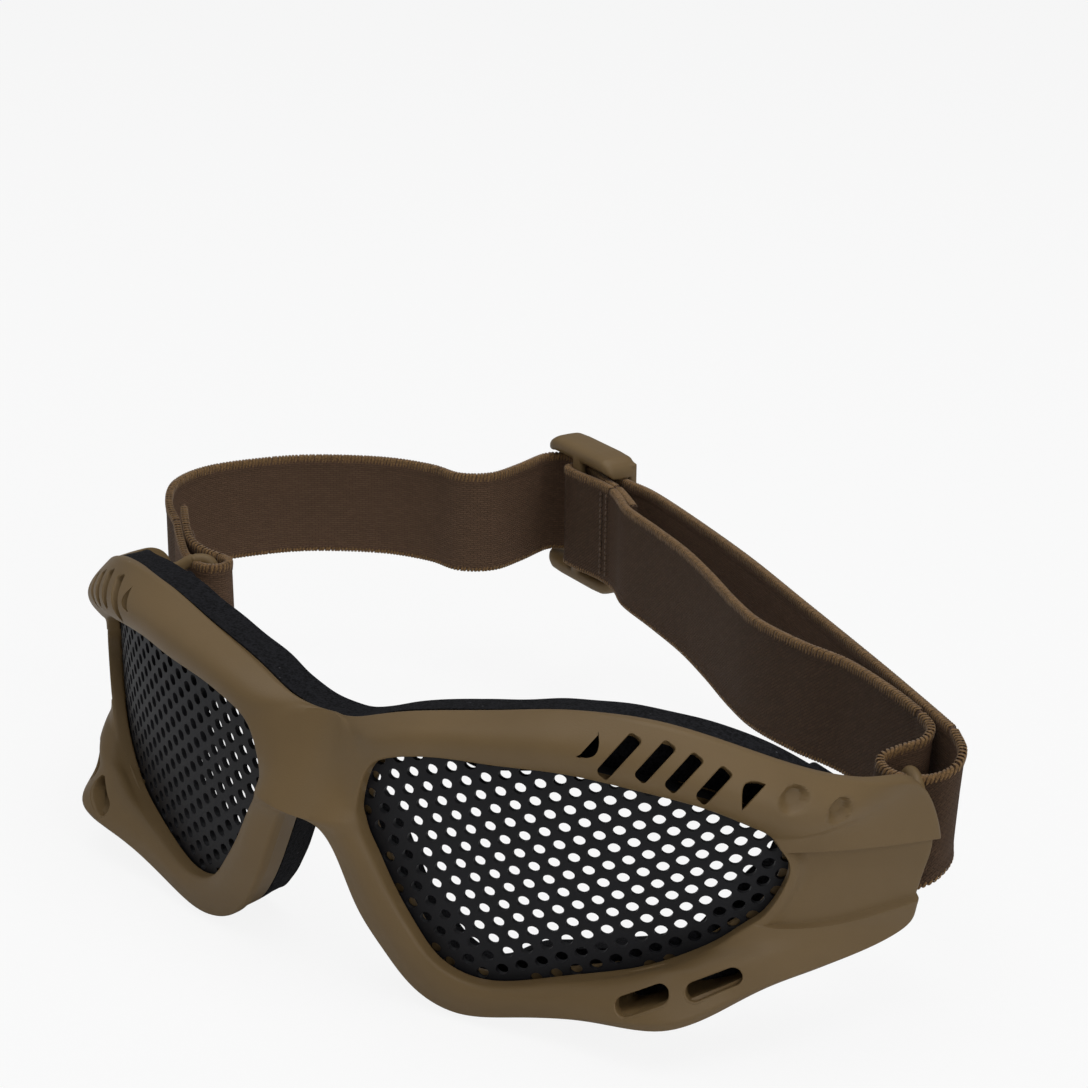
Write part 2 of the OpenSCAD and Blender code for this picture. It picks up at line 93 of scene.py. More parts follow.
# The pad's seat at stations 1 to 27: share of the way from opening to outline, and y
SEAT = np.array([
    [0.93, -6.8], [0.93, -7.4], [0.97, -6.1], [0.97, -2.9], [0.97, -0.1], [0.97, 3.4], [0.95, 9.7],
    [0.88, 14.8], [0.6, 20.5], [0.38, 23.4], [0.24, 23.2], [0.2, 22.4], [0.22, 21.4], [0.25, 19.8],
    [0.46, 18.6], [0.78, 15.4], [0.9, 11.8], [0.92, 8.2], [0.96, 3], [0.96, -0.4], [0.96, -2.8],
    [0.96, -4.6], [0.96, -6], [0.96, -7.4], [0.96, -8], [0.96, -9], [0.96, -10.2]])
# All lengths from here on are in millimetres
WRAP_R = 115.4
FRONT_Y = -13.7
HALFWAY = COUNT // 2
SHELL_THICK = 2.4
DIMPLE_DEPTH = 1.5
WALL_SUNK = 1.2
PAD_WALL = 2.2
PAD_DEPTH = 6.8
PAD_NARROWEST = 4.8
LENS_MARGIN = 1.6
FLANGE_REACH = 0.6
# Depths behind the cylinder of the openings: the lens's two faces, and its flange's
LENS_DEPTHS = (2.6, 3.5)
FLANGE_DEPTHS = (3.6, 4.4)
# The lens holes for a pitch of 1: two steps of the pattern and how much the steps shrink
LATTICE_AT = np.array([32.76, 13.77])
LATTICE_ALONG = np.array([1.095, 0.371])
LATTICE_ACROSS = np.array([0.283, 0.996])
LATTICE_SHRINK = -np.array([[0.006, 0.0004], [0.0042, 0.0037], [0.0009, 0.001]])


def ramp(x, a, b):
    """0 before a, 1 after b, and t*t*(3 - 2t) between them."""
    t = np.clip((x - a) / (b - a), 0, 1)
    return t * t * (3 - 2 * t)


def unit(v):
    """Vectors along the last axis, each divided by its length."""
    return v / np.maximum(np.linalg.norm(v, axis=-1, keepdims=True), 1e-12)


def loop_spline(rows, u):
    """The cubic through a closed loop of rows that is smooth to its second derivative."""
    n = len(rows)
    eye_matrix = np.eye(n)
    solve = 4 * eye_matrix + np.roll(eye_matrix, 1, 1) + np.roll(eye_matrix, -1, 1)
    slope = np.linalg.solve(solve, 3 * (np.roll(rows, -1, 0) - np.roll(rows, 1, 0)))
    i = np.floor(u).astype(int)
    f = (u - i)[..., None]
    a, b, ma, mb = rows[i % n], rows[(i + 1) % n], slope[i % n], slope[(i + 1) % n]
    return (a * (2 * f ** 3 - 3 * f ** 2 + 1) + ma * (f ** 3 - 2 * f ** 2 + f)
            + b * (3 * f ** 2 - 2 * f ** 3) + mb * (f ** 3 - f ** 2))


def both_sides(rows):
    """A loop over both halves: rows of stations 1 to 27, then the same mirrored in X backwards."""
    mirrored = rows[-2:0:-1] * np.array([-1] + [1] * (rows.shape[1] - 1))
    return np.concatenate([rows, mirrored])


OUTLINE_LOOP = both_sides(STATIONS[1:, 2:5])


def seat_rows():
    """x, y, z and share of the pad's seat at stations 1 to 27, with the two ends at X = 0."""
    e, o, q = STATIONS[1:, 0:2], STATIONS[1:, 2:5], SEAT[:, 0]
    x = e[:, 0] + (o[:, 0] - e[:, 0]) * q
    z = e[:, 1] + (o[:, 2] - e[:, 1]) * q
    x[[0, -1]] = 0
    z[0] -= 0.4
    z[-1] += 0.35
    return np.stack([x, SEAT[:, 1], z, q], 1)


SEAT_LOOP = both_sides(seat_rows())


def wrapped(x, z, depth):
    """The point on the upright cylinder that the openings lie on, at a depth behind it."""
    a = np.arcsin(x / WRAP_R)
    r = WRAP_R - depth
    return np.stack([r * np.sin(a), FRONT_Y + WRAP_R - r * np.cos(a), z], -1)


def opening(u):
    """x and z of the eye opening's line."""
    return loop_spline(STATIONS[:, :2], u)


def eye(u, depth=0.0):
    """A point of the opening's line, at a depth behind the cylinder."""
    p = opening(u)
    return wrapped(p[..., 0], p[..., 1], depth)


def outline(u):
    """The free outline between stations 1 and 27, and a parabola down the bridge elsewhere."""
    a, c = STATIONS[-1, 2:5], STATIONS[1, 2:5]
    b = 2 * STATIONS[0, 2:5] - 0.5 * a - 0.5 * c
    g = (np.where(u <= 1, u + 1, u - COUNT + 1) / 2)[..., None]
    down = a * (1 - g) ** 2 + 2 * b * g * (1 - g) + c * g * g
    free = loop_spline(OUTLINE_LOOP, np.clip(u, 1, COUNT - 1) - 1)
    return np.where(((u <= 1) | (u >= COUNT - 1))[..., None], down, free)


def outward(u):
    """Unit normal of the front between opening and outline."""
    def middle(v):
        v = v % COUNT
        return eye(v) + outline(v)
    return unit(np.cross(middle(u + 0.25) - middle(u - 0.25), outline(u) - eye(u)))


def bridging(u):
    """1 on the bridge, where the front is level across X = 0, and 0 a station further on."""
    return np.where(u < HALFWAY, 1 - ramp(u, 1, 2.2), ramp(u, COUNT - 2.2, COUNT - 1))


# The direction in which the brow's slots, fins and dimples lie
BROW_ALONG = unit(np.array([0.25, 0.75, 0.61]))


def dimple_depth(points):
    """Two oval bowls behind the vents: level to half the oval's radius, then a smooth rise."""
    depth = np.zeros(points.shape[:-1])
    for at, half_long, half_wide in (([76.2, 12.3, 16.6], 3.0, 2.2),
                                     ([80.2, 18.5, 13.6], 2.6, 1.8)):
        d = points - np.array(at)
        along = d @ BROW_ALONG
        aside = np.sqrt(np.maximum((d * d).sum(-1) - along ** 2, 0))
        r = np.sqrt((along / half_long) ** 2 + (aside / half_wide) ** 2)
        depth += DIMPLE_DEPTH * (1 - ramp(r, 0.5, 1.04))
    return depth


def front(u, s):
    """The front between opening (s 0) and outline (s 1): the straight line, bulged along the
    normal by a half sine, lowered in the temple channel and in the two dimples."""
    u, s = np.broadcast_arrays(u, s)
    e, n, w = eye(u), outward(u), bridging(u)
    d = outline(u) - e
    g = s + w * (s - s * s)
    low = 13.95 - 1.1 * s
    channel = (2.2 - 1.1 * ramp(u, 11.2, low)) * ramp(u, 11, 11.08)
    channel = channel * (1 - ramp(u - low, -0.1, 0)) * ramp(s, 0.0, 0.16)
    crown = loop_spline(STATIONS[:, 5:6], u)[..., 0] * (
        (1 - w) * np.sin(pi * s ** 0.75) + w * 6.75 * s * (1 - s) ** 2)
    p = e + d * np.stack([s, g, g], -1) + n * (crown - channel)[..., None]
    return p - n * dimple_depth(p)[..., None]


def inward(u, s):
    """Into the material: to the cylinder's axis at the opening, square to the front outside."""
    w = ramp(s, 0, 0.4)[..., None]
    return unit(unit(eye(u, 1.0) - eye(u)) * (1 - w) - outward(u) * w)


def opening_normal(u):
    """Unit normal of the opening's line in X and Z, away from the opening."""
    d = opening((u + 0.1) % COUNT) - opening((u - 0.1) % COUNT)
    return unit(np.stack([-d[..., 1], d[..., 0]], -1))


def beside_opening(u, off, depth):
    """A point beside the opening's line, at an offset away from the opening and a depth."""
    p = opening(u) + off * opening_normal(u)
    return wrapped(p[..., 0], p[..., 1], depth)


def seat(u):
    """x, y, z and share of the pad's seat between stations 1 and 27."""
    return loop_spline(SEAT_LOOP, u - 1)


def seat_point(u, off, y):
    """A point off the seat's line towards the opening, in X and Z, at a given y."""
    d = unit((seat(u + 0.15) - seat(u - 0.15))[..., [0, 2]])
    p = seat(u)
    return np.stack([p[..., 0] + off * d[..., 1], y, p[..., 2] - off * d[..., 0]], -1)


def rounded(section, radius, steps=4):
    """Each corner with a radius becomes a parabolic arc that starts that far before it.

    section holds rings of corners, (rings, corners, 3). radius has one number a corner, or
    one a ring and corner."""
    radius = np.broadcast_to(radius, section.shape[:2])
    out, m = [], section.shape[1]
    for k in range(m):
        p, a, b = section[:, k], section[:, k - 1], section[:, (k + 1) % m]
        if not radius[:, k].any():
            out.append(p)
            continue
        size = radius[:, k, None]
        la = np.linalg.norm(a - p, axis=-1, keepdims=True)
        lb = np.linalg.norm(b - p, axis=-1, keepdims=True)
        start = p + (a - p) * np.minimum(0.46 if radius[:, k - 1].any() else 0.92, size / la)
        end = p + (b - p) * np.minimum(0.46 if radius[:, (k + 1) % m].any() else 0.92, size / lb)
        for t in np.linspace(0, 1, steps + 1):
            out.append(start * (1 - t) ** 2 + 2 * p * t * (1 - t) + end * t * t)
    return np.stack(out, 1)


def skin(rings, closed):
    """Faces round rings of points, joined into a loop or closed by a face at either end."""
    n, m = rings.shape[:2]
    i, j = np.meshgrid(np.arange(n if closed else n - 1), np.arange(m), indexing="ij")
    k, l = (i + 1) % n, (j + 1) % m
    faces = np.stack([i * m + j, i * m + l, k * m + l, k * m + j], -1).reshape(-1, 4).tolist()
    if not closed:
        faces += [list(range(m - 1, -1, -1)), list(range((n - 1) * m, n * m))]
    return rings.reshape(-1, 3), faces


def mirrored(part):
    """The same skin on the other side of X = 0, with its faces turned over."""
    points, faces = part
    return points * np.array([-1, 1, 1]), [f[::-1] for f in faces]


def both_halves(parts):
    """Skins of the right side, and the same mirrored, as one."""
    return joined(parts + [mirrored(p) for p in parts])


def joined(parts):
    """Several skins as one."""
    points, faces, base = [], [], 0
    for p, f in parts:
        points.append(p)
        faces += [[v + base for v in face] for face in f]
        base += len(p)
    return np.concatenate(points), faces


def new_object(name, part, materials, sharp=32, facing=True):
    """A mesh object at the origin from a skin in millimetres, smooth but for sharp edges."""
    mesh = bpy.data.meshes.new(name)
    mesh.from_pydata((part[0] * MM).tolist(), [], part[1])
    mesh.validate()
    if facing:
        face_out(mesh)
    obj = bpy.data.objects.new(name, mesh)
    bpy.context.scene.collection.objects.link(obj)
    for m in materials:
        mesh.materials.append(m)
    smooth(mesh, sharp)
    return obj


def face_out(mesh):
    """Every closed shell of the mesh faces outwards."""
    bm = bmesh.new()
    bm.from_mesh(mesh)
    bmesh.ops.recalc_face_normals(bm, faces=bm.faces)
    bm.to_mesh(mesh)
    bm.free()


def smooth(mesh, sharp):
    """Smooth shading, but for edges sharper than an angle in degrees."""
    mesh.polygons.foreach_set("use_smooth", np.ones(len(mesh.polygons), bool))
    mesh.set_sharp_from_angle(angle=radians(sharp))
    mesh.update()


def ring_steps():
    """Steps round the eye, closer together at the dimples and the channel's two ends."""
    parts = [np.arange(0, 7.4, 1 / 10), np.arange(7.4, 9.6, 1 / 22), np.arange(9.6, 10.9, 1 / 12),
             np.arange(10.9, 11.2, 1 / 60), np.arange(11.2, 12.0, 1 / 14),
             np.arange(12.0, 14.1, 1 / 50), np.arange(14.1, COUNT - 0.01, 1 / 10)]
    return np.unique(np.round(np.concatenate(parts), 5))


def shell_rings():
    """Sections of the moulded front: its face, rounded edges and its back, 2.4 mm behind."""
    u = ring_steps()[:, None]
    s = np.concatenate([[0], np.linspace(0.055, 0.945, 34), [1]])[None]
    face = front(u, s)
    back_s = np.array([1, 0.93, 0.8, 0.66, 0.5, 0.33, 0.2, 0.1, 0])[None]
    thick = SHELL_THICK - 0.2 * ramp(back_s, 0.9, 1)
    back = front(u, back_s) + thick[..., None] * inward(u, back_s)
    section = np.concatenate([face, back], 1)
    bridge = ((u <= 1) | (u >= COUNT - 1))[:, 0]
    free_edge = slice(s.size - 1, s.size + 1)
    section[bridge, free_edge, 0] = 0
    radius = np.zeros(section.shape[:2])
    radius[:, [0, s.size - 1, s.size, -1]] = [0.55, 0.8, 0.6, 0.4]
    radius[:, free_edge] *= np.where(u < HALFWAY, ramp(u, 1, 1.4),
                                     1 - ramp(u, COUNT - 1.4, COUNT - 1))
    return rounded(section, radius)


def shell_mesh():
    """The front of both halves, which share their points at X = 0 along the bridge."""
    mesh = bpy.data.meshes.new("front")
    points, faces = skin(shell_rings(), True)
    mesh.from_pydata((points * MM).tolist(), [], faces)
    bm = bmesh.new()
    bm.from_mesh(mesh)
    bmesh.ops.remove_doubles(bm, verts=bm.verts, dist=1e-6)
    between = [f for f in bm.faces if all(abs(v.co.x) < 1e-7 for v in f.verts)]
    bmesh.ops.delete(bm, geom=between, context="FACES")
    bmesh.ops.mirror(bm, geom=bm.verts[:] + bm.edges[:] + bm.faces[:], axis="X", merge_dist=1e-6)
    bmesh.ops.recalc_face_normals(bm, faces=bm.faces)
    gaps = sum(not e.is_manifold for e in bm.edges)
    if gaps:
        raise RuntimeError(f"The front's halves leave {gaps} open edges.")
    bm.to_mesh(mesh)
    bm.free()
    return mesh


def vent_cutter(line, center, along, across, lip, deep):
    """A cutter with a rounded flare where it leaves the front.

    line is the hole's outline in two directions square to the cut. The front's depth along
    the cut is taken from its own points nearest to each point of the line."""
    a = unit(np.array(along))
    n = unit(np.array(across) - a * (a @ np.array(across)))
    b = np.cross(n, a)
    u = np.linspace(4, 19, 500)[:, None]
    s = np.linspace(0.02, 0.98, 60)[None]
    p = (front(u, s) - center).reshape(-1, 3)
    q = np.stack([p @ a, p @ b, p @ n], 1)
    q = q[np.abs(q[:, 2]) < 4.5]
    away = np.linalg.norm(line[:, None] - q[None, :, :2], axis=-1)
    nearest = np.argsort(away, 1)[:, :6]
    weight = 1 / (np.take_along_axis(away, nearest, 1) + 0.05) ** 2
    top = (q[nearest, 2] * weight).sum(1) / weight.sum(1)
    for _ in range(3):
        top = (np.roll(top, 1) + 2 * top + np.roll(top, -1)) / 4
    ahead = np.roll(line, -1, 0) - np.roll(line, 1, 0)
    side = unit(np.stack([ahead[:, 1], -ahead[:, 0]], 1))
    stands_out, widest = 2.6, lip * 0.95
    levels = [(0, -deep), (0, -2.0 * lip)] + [
        (lip * (1 - cos(t)), -lip + lip * sin(t)) for t in np.radians([0, 18, 36, 54, 72])]
    levels += [(widest, 0.3 * lip), (widest, stands_out)]
    rings = []
    for off, rise in levels:
        xy = line + off * side
        rings.append(center + xy[:, :1] * a + xy[:, 1:] * b + (top + rise)[:, None] * n)
    return skin(np.stack(rings), False)


def slot_line(length, width, corner):
    """A slot's line: straight sides and corners of a radius."""
    t = np.linspace(0, pi / 2, 7)
    x, y = length / 2 - corner, width / 2 - corner
    arc = np.stack([x + corner * np.cos(t), y + corner * np.sin(t)], 1)
    side = np.stack([np.linspace(x, -x, 9)[1:-1], np.full(7, width / 2)], 1)
    half = np.concatenate([arc, side, arc[::-1] * [-1, 1]])
    return np.concatenate([half, -half])


def half_moon(length, width, lean):
    """A fin: a straight side and a bowed one, pointed more towards one end."""
    t = np.linspace(0, 1, 15)
    bow = np.sin(pi * t ** lean) ** 0.8
    x = (t - 0.5) * length
    out = np.stack([x, width * bow - width / 2], 1)
    back = np.stack([x[-2:0:-1], np.full(13, -width / 2)], 1)
    return np.concatenate([out, back])[::-1]


def vent_cutters(deep):
    """Cutters of the right side, which reach a depth below the front's face: four slots and
    two fins in the brow, two ovals near the chin."""
    slots = [(slot_line(length, 2.2, 0.6), center, 0.2) for length, center in (
        (7.6, [53.6, -1.65, 21.9]), (7.0, [58.6, 0.6, 21.6]),
        (6.5, [63.0, 2.1, 20.65]), (6.0, [67.3, 4.0, 19.3]))]
    fins = [(half_moon(5.0, 2.1, 0.75) * [1, -1], [49.6, -3.05, 22.35], 0.25),
            (half_moon(5.2, 2.3, 1.3), [71.5, 7.0, 18.35], 0.25)]
    out = [0.56, -0.71, 0.42]
    return [vent_cutter(line, np.array(center), BROW_ALONG, out, lip, deep)
            for line, center, lip in slots + fins] + low_vent_cutters(deep, 0, [0.57, -0.75, 0.26])


def low_vent_cutters(deep, rise, out):
    """Cutters of the two ovals near the chin, raised in Z, along a direction out of the front."""
    parts = []
    for low, high, share in (([56.0, -4.0, -18.6], [62.9, -0.3, -15.0], 1),
                             ([65.5, 0.6, -15.4], [72.2, 5.0, -11.9], 1.9)):
        low, high = np.array(low) + [0, 0, rise * share], np.array(high) + [0, 0, rise * share]
        line = slot_line(np.linalg.norm(high - low), 3.0, 1.45)
        parts.append(vent_cutter(line, (low + high) / 2, high - low, out, 0.35, deep))
    return parts


def cut(obj, cutter):
    """The cutter's shape is taken out of the object, which keeps the result as its mesh."""
    modifier = obj.modifiers.new("cut", "BOOLEAN")
    modifier.operation = "DIFFERENCE"
    modifier.solver = "MANIFOLD"
    modifier.object = cutter
    result = evaluated(obj)
    if len(result.vertices) in (0, len(obj.data.vertices)):
        raise RuntimeError("The cut left " + obj.name + " as it was.")
    obj.data = result
    bpy.data.objects.remove(cutter)


def wall_sections():
    """The wall round each lens, open behind the brow vents, and the wall that carries the pad,
    as skins of the right side. Both start inside the shell."""
    lens_near, lens_far = 1.7, 2.6
    u = np.arange(9.5, COUNT + 3, 1 / 8)[:, None] % COUNT
    length = np.linalg.norm(outline(u) - eye(u), axis=-1)
    a, b = np.minimum(0.8, lens_near / length), np.minimum(0.95, lens_far / length)
    inner = front(u, a) + WALL_SUNK * inward(u, a)
    outside = front(u, b) + WALL_SUNK * inward(u, b)
    lens_wall = np.concatenate([inner, outside, beside_opening(u, lens_far, FLANGE_DEPTHS[1]),
                                beside_opening(u, lens_near, FLANGE_DEPTHS[1])], 1)
    u = np.arange(1, COUNT - 1 + 1e-6, 1 / 12)[:, None]
    p = seat(u)
    length = np.linalg.norm(outline(u) - eye(u), axis=-1)
    s = p[..., 3]
    t = np.maximum(0.1, s - PAD_WALL / length)
    near = bridging(u)[..., None]
    first = front(u, t) + WALL_SUNK * inward(u, t)
    second = front(u, s) + WALL_SUNK * inward(u, s)
    rear = [seat_point(u, 0, p[..., 1]), seat_point(u, PAD_WALL, p[..., 1])]
    back = 1.8 * (u > HALFWAY)[..., None] * np.array([0, 1, 0])
    first = first * (1 - near) + near * (rear[1] * [1, 0, 1] + first * [0, 1, 0] + back)
    second = second * (1 - near) + near * (rear[0] * [1, 0, 1] + second * [0, 1, 0])
    pad_wall = np.concatenate([first, second] + rear, 1)
    return [skin(rounded(lens_wall, [0, 0, 0.4, 0.3], 3), False),
            skin(rounded(pad_wall, [0, 0, 0.5, 0.5], 3), False)]


# How far the right bar and the webbing round it lean in, in X and Y for each mm below a height
BAR_LEAN = 0.15 * np.array([0.77, 0.64])
BAR_TOP = 11.3
BAR_RADIUS = 1.1


def bar_path(side):
    """The strap bar's line: an arm out of the plate, a bend, the upright rod, and back in."""
    top, low, bend, end = BAR_TOP, -10.9, 2.0, 7.4
    turn = radians(-40.4)
    d = np.array([cos(turn), sin(turn)])
    q = np.linspace(0, pi / 2, 9)
    reach = np.concatenate([np.linspace(end, bend + 0.8, 9), bend * (1 - np.sin(q)),
                            [0] * 8, bend * (1 - np.cos(q)), np.linspace(bend + 0.8, end, 9)])
    z = np.concatenate([np.full(9, top), top - bend + bend * np.cos(q),
                        np.linspace(top - bend - 1.5, low + bend + 1.5, 8),
                        low + bend - bend * np.sin(q), np.full(9, low)])
    z -= np.where(z > 0, 1.6, 3.6) * ramp(reach, 3.4, end) * np.sign(z)
    xy = np.array([76.6, 43.3]) + reach[:, None] * d - BAR_LEAN * (BAR_TOP - z)[:, None]
    return np.stack([side * xy[:, 0], xy[:, 1], z], 1)


def tube(path, radius, sides=20):
    """A round section carried along a path, each ring square to the path's direction."""
    t = unit(np.gradient(path, axis=0))
    up = unit(np.cross(t, np.array([0.31, 0.42, 0.07])))
    right = np.cross(t, up)
    a = np.linspace(0, 2 * pi, sides, endpoint=False)
    rings = path[:, None] + radius * (np.cos(a)[None, :, None] * up[:, None]
                                      + np.sin(a)[None, :, None] * right[:, None])
    return skin(rings, False)


def unrolled(x):
    """Arc length along the cylinder from X = 0."""
    return WRAP_R * np.arcsin(x / WRAP_R)


def lens_sheet(sizes):
    """The right perforated sheet: the triangulated flat shape with its oval holes, rolled on to
    a cylinder behind the opening, with walls round every hole and round the outside."""
    u = np.arange(0, COUNT, 1 / 6)
    p = opening(u) + LENS_MARGIN * opening_normal(u)
    line = np.stack([unrolled(p[:, 0]), p[:, 1]], 1)
    pitch, hole = sizes.hole_pitch / MM, sizes.hole_size / MM
    i, j = (k.ravel() for k in np.meshgrid(np.arange(-24, 25), np.arange(-26, 16), indexing="ij"))
    steps = np.concatenate([[LATTICE_ALONG, LATTICE_ACROSS], LATTICE_SHRINK])
    centers = np.stack([i, j, i * i, i * j, j * j], 1) @ (pitch * steps) + LATTICE_AT + np.array(
        [sizes.phase_x, sizes.phase_z]) / MM
    edge = np.stack([unrolled(opening(u)[:, 0]), opening(u)[:, 1]], 1)
    centers = centers[inside_by(centers, edge, -0.35)]
    sides = 18
    a = np.linspace(0, 2 * pi, sides, endpoint=False)
    long_way, short_way = unit(LATTICE_ALONG), unit(LATTICE_ALONG)[::-1] * [-1, 1]
    ring = hole / 2 * (1.15 * np.cos(a)[:, None] * long_way
                       + (0.95 * np.sin(a) * np.abs(np.sin(a)) ** 0.25)[:, None] * short_way)
    rings = centers[:, None] + ring[None]
    flat_points = np.concatenate([line, rings.reshape(-1, 2)])
    n_line = len(line)
    loops = [list(range(n_line))] + [
        list(range(n_line + k * sides, n_line + (k + 1) * sides))[::-1]
        for k in range(len(centers))]
    found = delaunay_2d_cdt([Vector(q) for q in flat_points.tolist()], [], loops, 2, 1e-6)
    points, tris, origin = found[0], found[2], found[3]
    order = np.array([o[0] for o in origin])
    if len(points) != len(flat_points):
        raise RuntimeError("The lens sheet's outline or holes cross each other.")
    tris = order[np.array(tris)]
    area = np.cross(flat_points[tris[:, 1]] - flat_points[tris[:, 0]],
                    flat_points[tris[:, 2]] - flat_points[tris[:, 0]])
    tris[area < 0] = tris[area < 0][:, ::-1]
    x = WRAP_R * np.sin(flat_points[:, 0] / WRAP_R)
    layers = [wrapped(x, flat_points[:, 1], depth) for depth in LENS_DEPTHS]
    n = len(flat_points)
    walls = []
    for start, count in [(0, n_line)] + [(n_line + k * sides, sides) for k in range(len(centers))]:
        k = np.arange(count)
        l = (k + 1) % count
        walls.append(np.stack([start + k, start + l, start + l + n, start + k + n], 1))
    faces = tris.tolist() + (tris[:, ::-1] + n).tolist() + np.concatenate(walls).tolist()
    return np.concatenate(layers), faces


def inside_by(points, line, margin):
    """Which points lie inside a closed line by more than a margin, or outside it by less."""
    a, b = line[None], np.roll(line, -1, 0)[None]
    p = points[:, None]
    d = b - a
    t = np.clip(((p - a) * d).sum(-1) / (d * d).sum(-1), 0, 1)
    near = np.linalg.norm(p - a - t[..., None] * d, axis=-1).min(1)
    cross = ((a[..., 1] > p[..., 1]) != (b[..., 1] > p[..., 1])) & (
        p[..., 0] < a[..., 0] + (p[..., 1] - a[..., 1]) * d[..., 0]
        / np.where(d[..., 1] == 0, 1e-9, d[..., 1]))
    inside = cross.sum(1) % 2 == 1
    return np.where(inside, near, -near) > margin


def lens_flange():
    """The flange behind the right lens: a flat band with rounded edges that reaches a little
    into the opening."""
    u = np.arange(0, COUNT, 1 / 8)[:, None]
    near, far = FLANGE_DEPTHS
    band = np.concatenate([beside_opening(u, off, depth) for off, depth in (
        (-FLANGE_REACH, near), (LENS_MARGIN, near), (LENS_MARGIN, far), (-FLANGE_REACH, far))], 1)
    return skin(rounded(band, [0.3, 0.1, 0.1, 0.35], 3), True)


def pad_width(u):
    """The pad's width: narrowest at the nose and mid-brow, 10 mm behind the vents, 11 mm at
    the temple and up to 14 mm below it."""
    u = np.where(u > COUNT - 1, 2 * (COUNT - 1) - u, u)
    behind_vents = ramp(u, 3, 3.8) * (1 - ramp(u, 8.2, 9))
    temple = ramp(u, 8.4, 10) * (1 - ramp(u, 14, 16))
    low = ramp(u, 13.5, 15) * (1 - ramp(u, 20, 21.5))
    under = ramp(u, 14.6, 15.6) * (1 - ramp(u, 17, 19))
    return PAD_NARROWEST + 5.2 * behind_vents + 6.2 * temple + 3.4 * low + 5 * under


def pad_rings():
    """Sections of the foam pad: cut square at its seat, a little crowned at the face, and as
    uneven as cut foam by a tenth of a millimetre or so."""
    n = len(SEAT_LOOP)
    u = np.arange(0, n, 1 / 14)[:, None] + 1
    y = seat(u)[..., 1]
    wide = pad_width(u)
    across = np.linspace(0, 1, 9)
    up = np.linspace(0.05, PAD_DEPTH, 11)
    face = 1 - np.cos(np.linspace(-1, 1, 9) * 0.9)
    ring = []
    for off, rise in [(o * wide, 0.05) for o in across[::-1]] + [(0.05 * r, r) for r in up[1:-1]]:
        ring.append(seat_point(u, off, y + rise))
    for o, f in zip(across * 0.9 + 0.05, face):
        ring.append(seat_point(u, o * wide, y + PAD_DEPTH - 0.9 * f))
    for r in up[-2:0:-1]:
        ring.append(seat_point(u, wide - 0.05 * r, y + r))
    rings = np.concatenate(ring, 1)
    rng = np.random.default_rng(11)
    steps = np.arange(rings.shape[0])[:, None]
    across = np.arange(rings.shape[1])[None]
    wobble, waves = np.zeros(rings.shape[:2]), 24
    for _ in range(waves):
        wave = rng.integers(2, 60)
        wobble += rng.normal() / waves ** 0.5 * np.sin(2 * pi * (
            wave * steps / rings.shape[0] + rng.integers(0, 4) * across / rings.shape[1]
            + rng.random()))
    middle = rings.mean(1, keepdims=True)
    free = ramp(rings[..., 1] - y, 0.6, 3.0)
    return rings + unit(rings - middle) * (0.09 * wobble * free)[..., None]


# Where the slider sits, which way it is turned, and the webbing's middle height there
SLIDER_X, SLIDER_Y, STRAP_Z = -44, 118, 8.3
TURN = radians(-20)


def at_slider(x, y, z=STRAP_Z):
    """A point given in the slider's own frame: x along the strap, y across it."""
    return [SLIDER_X + x * cos(TURN) - y * sin(TURN), SLIDER_Y + x * sin(TURN) + y * cos(TURN), z]


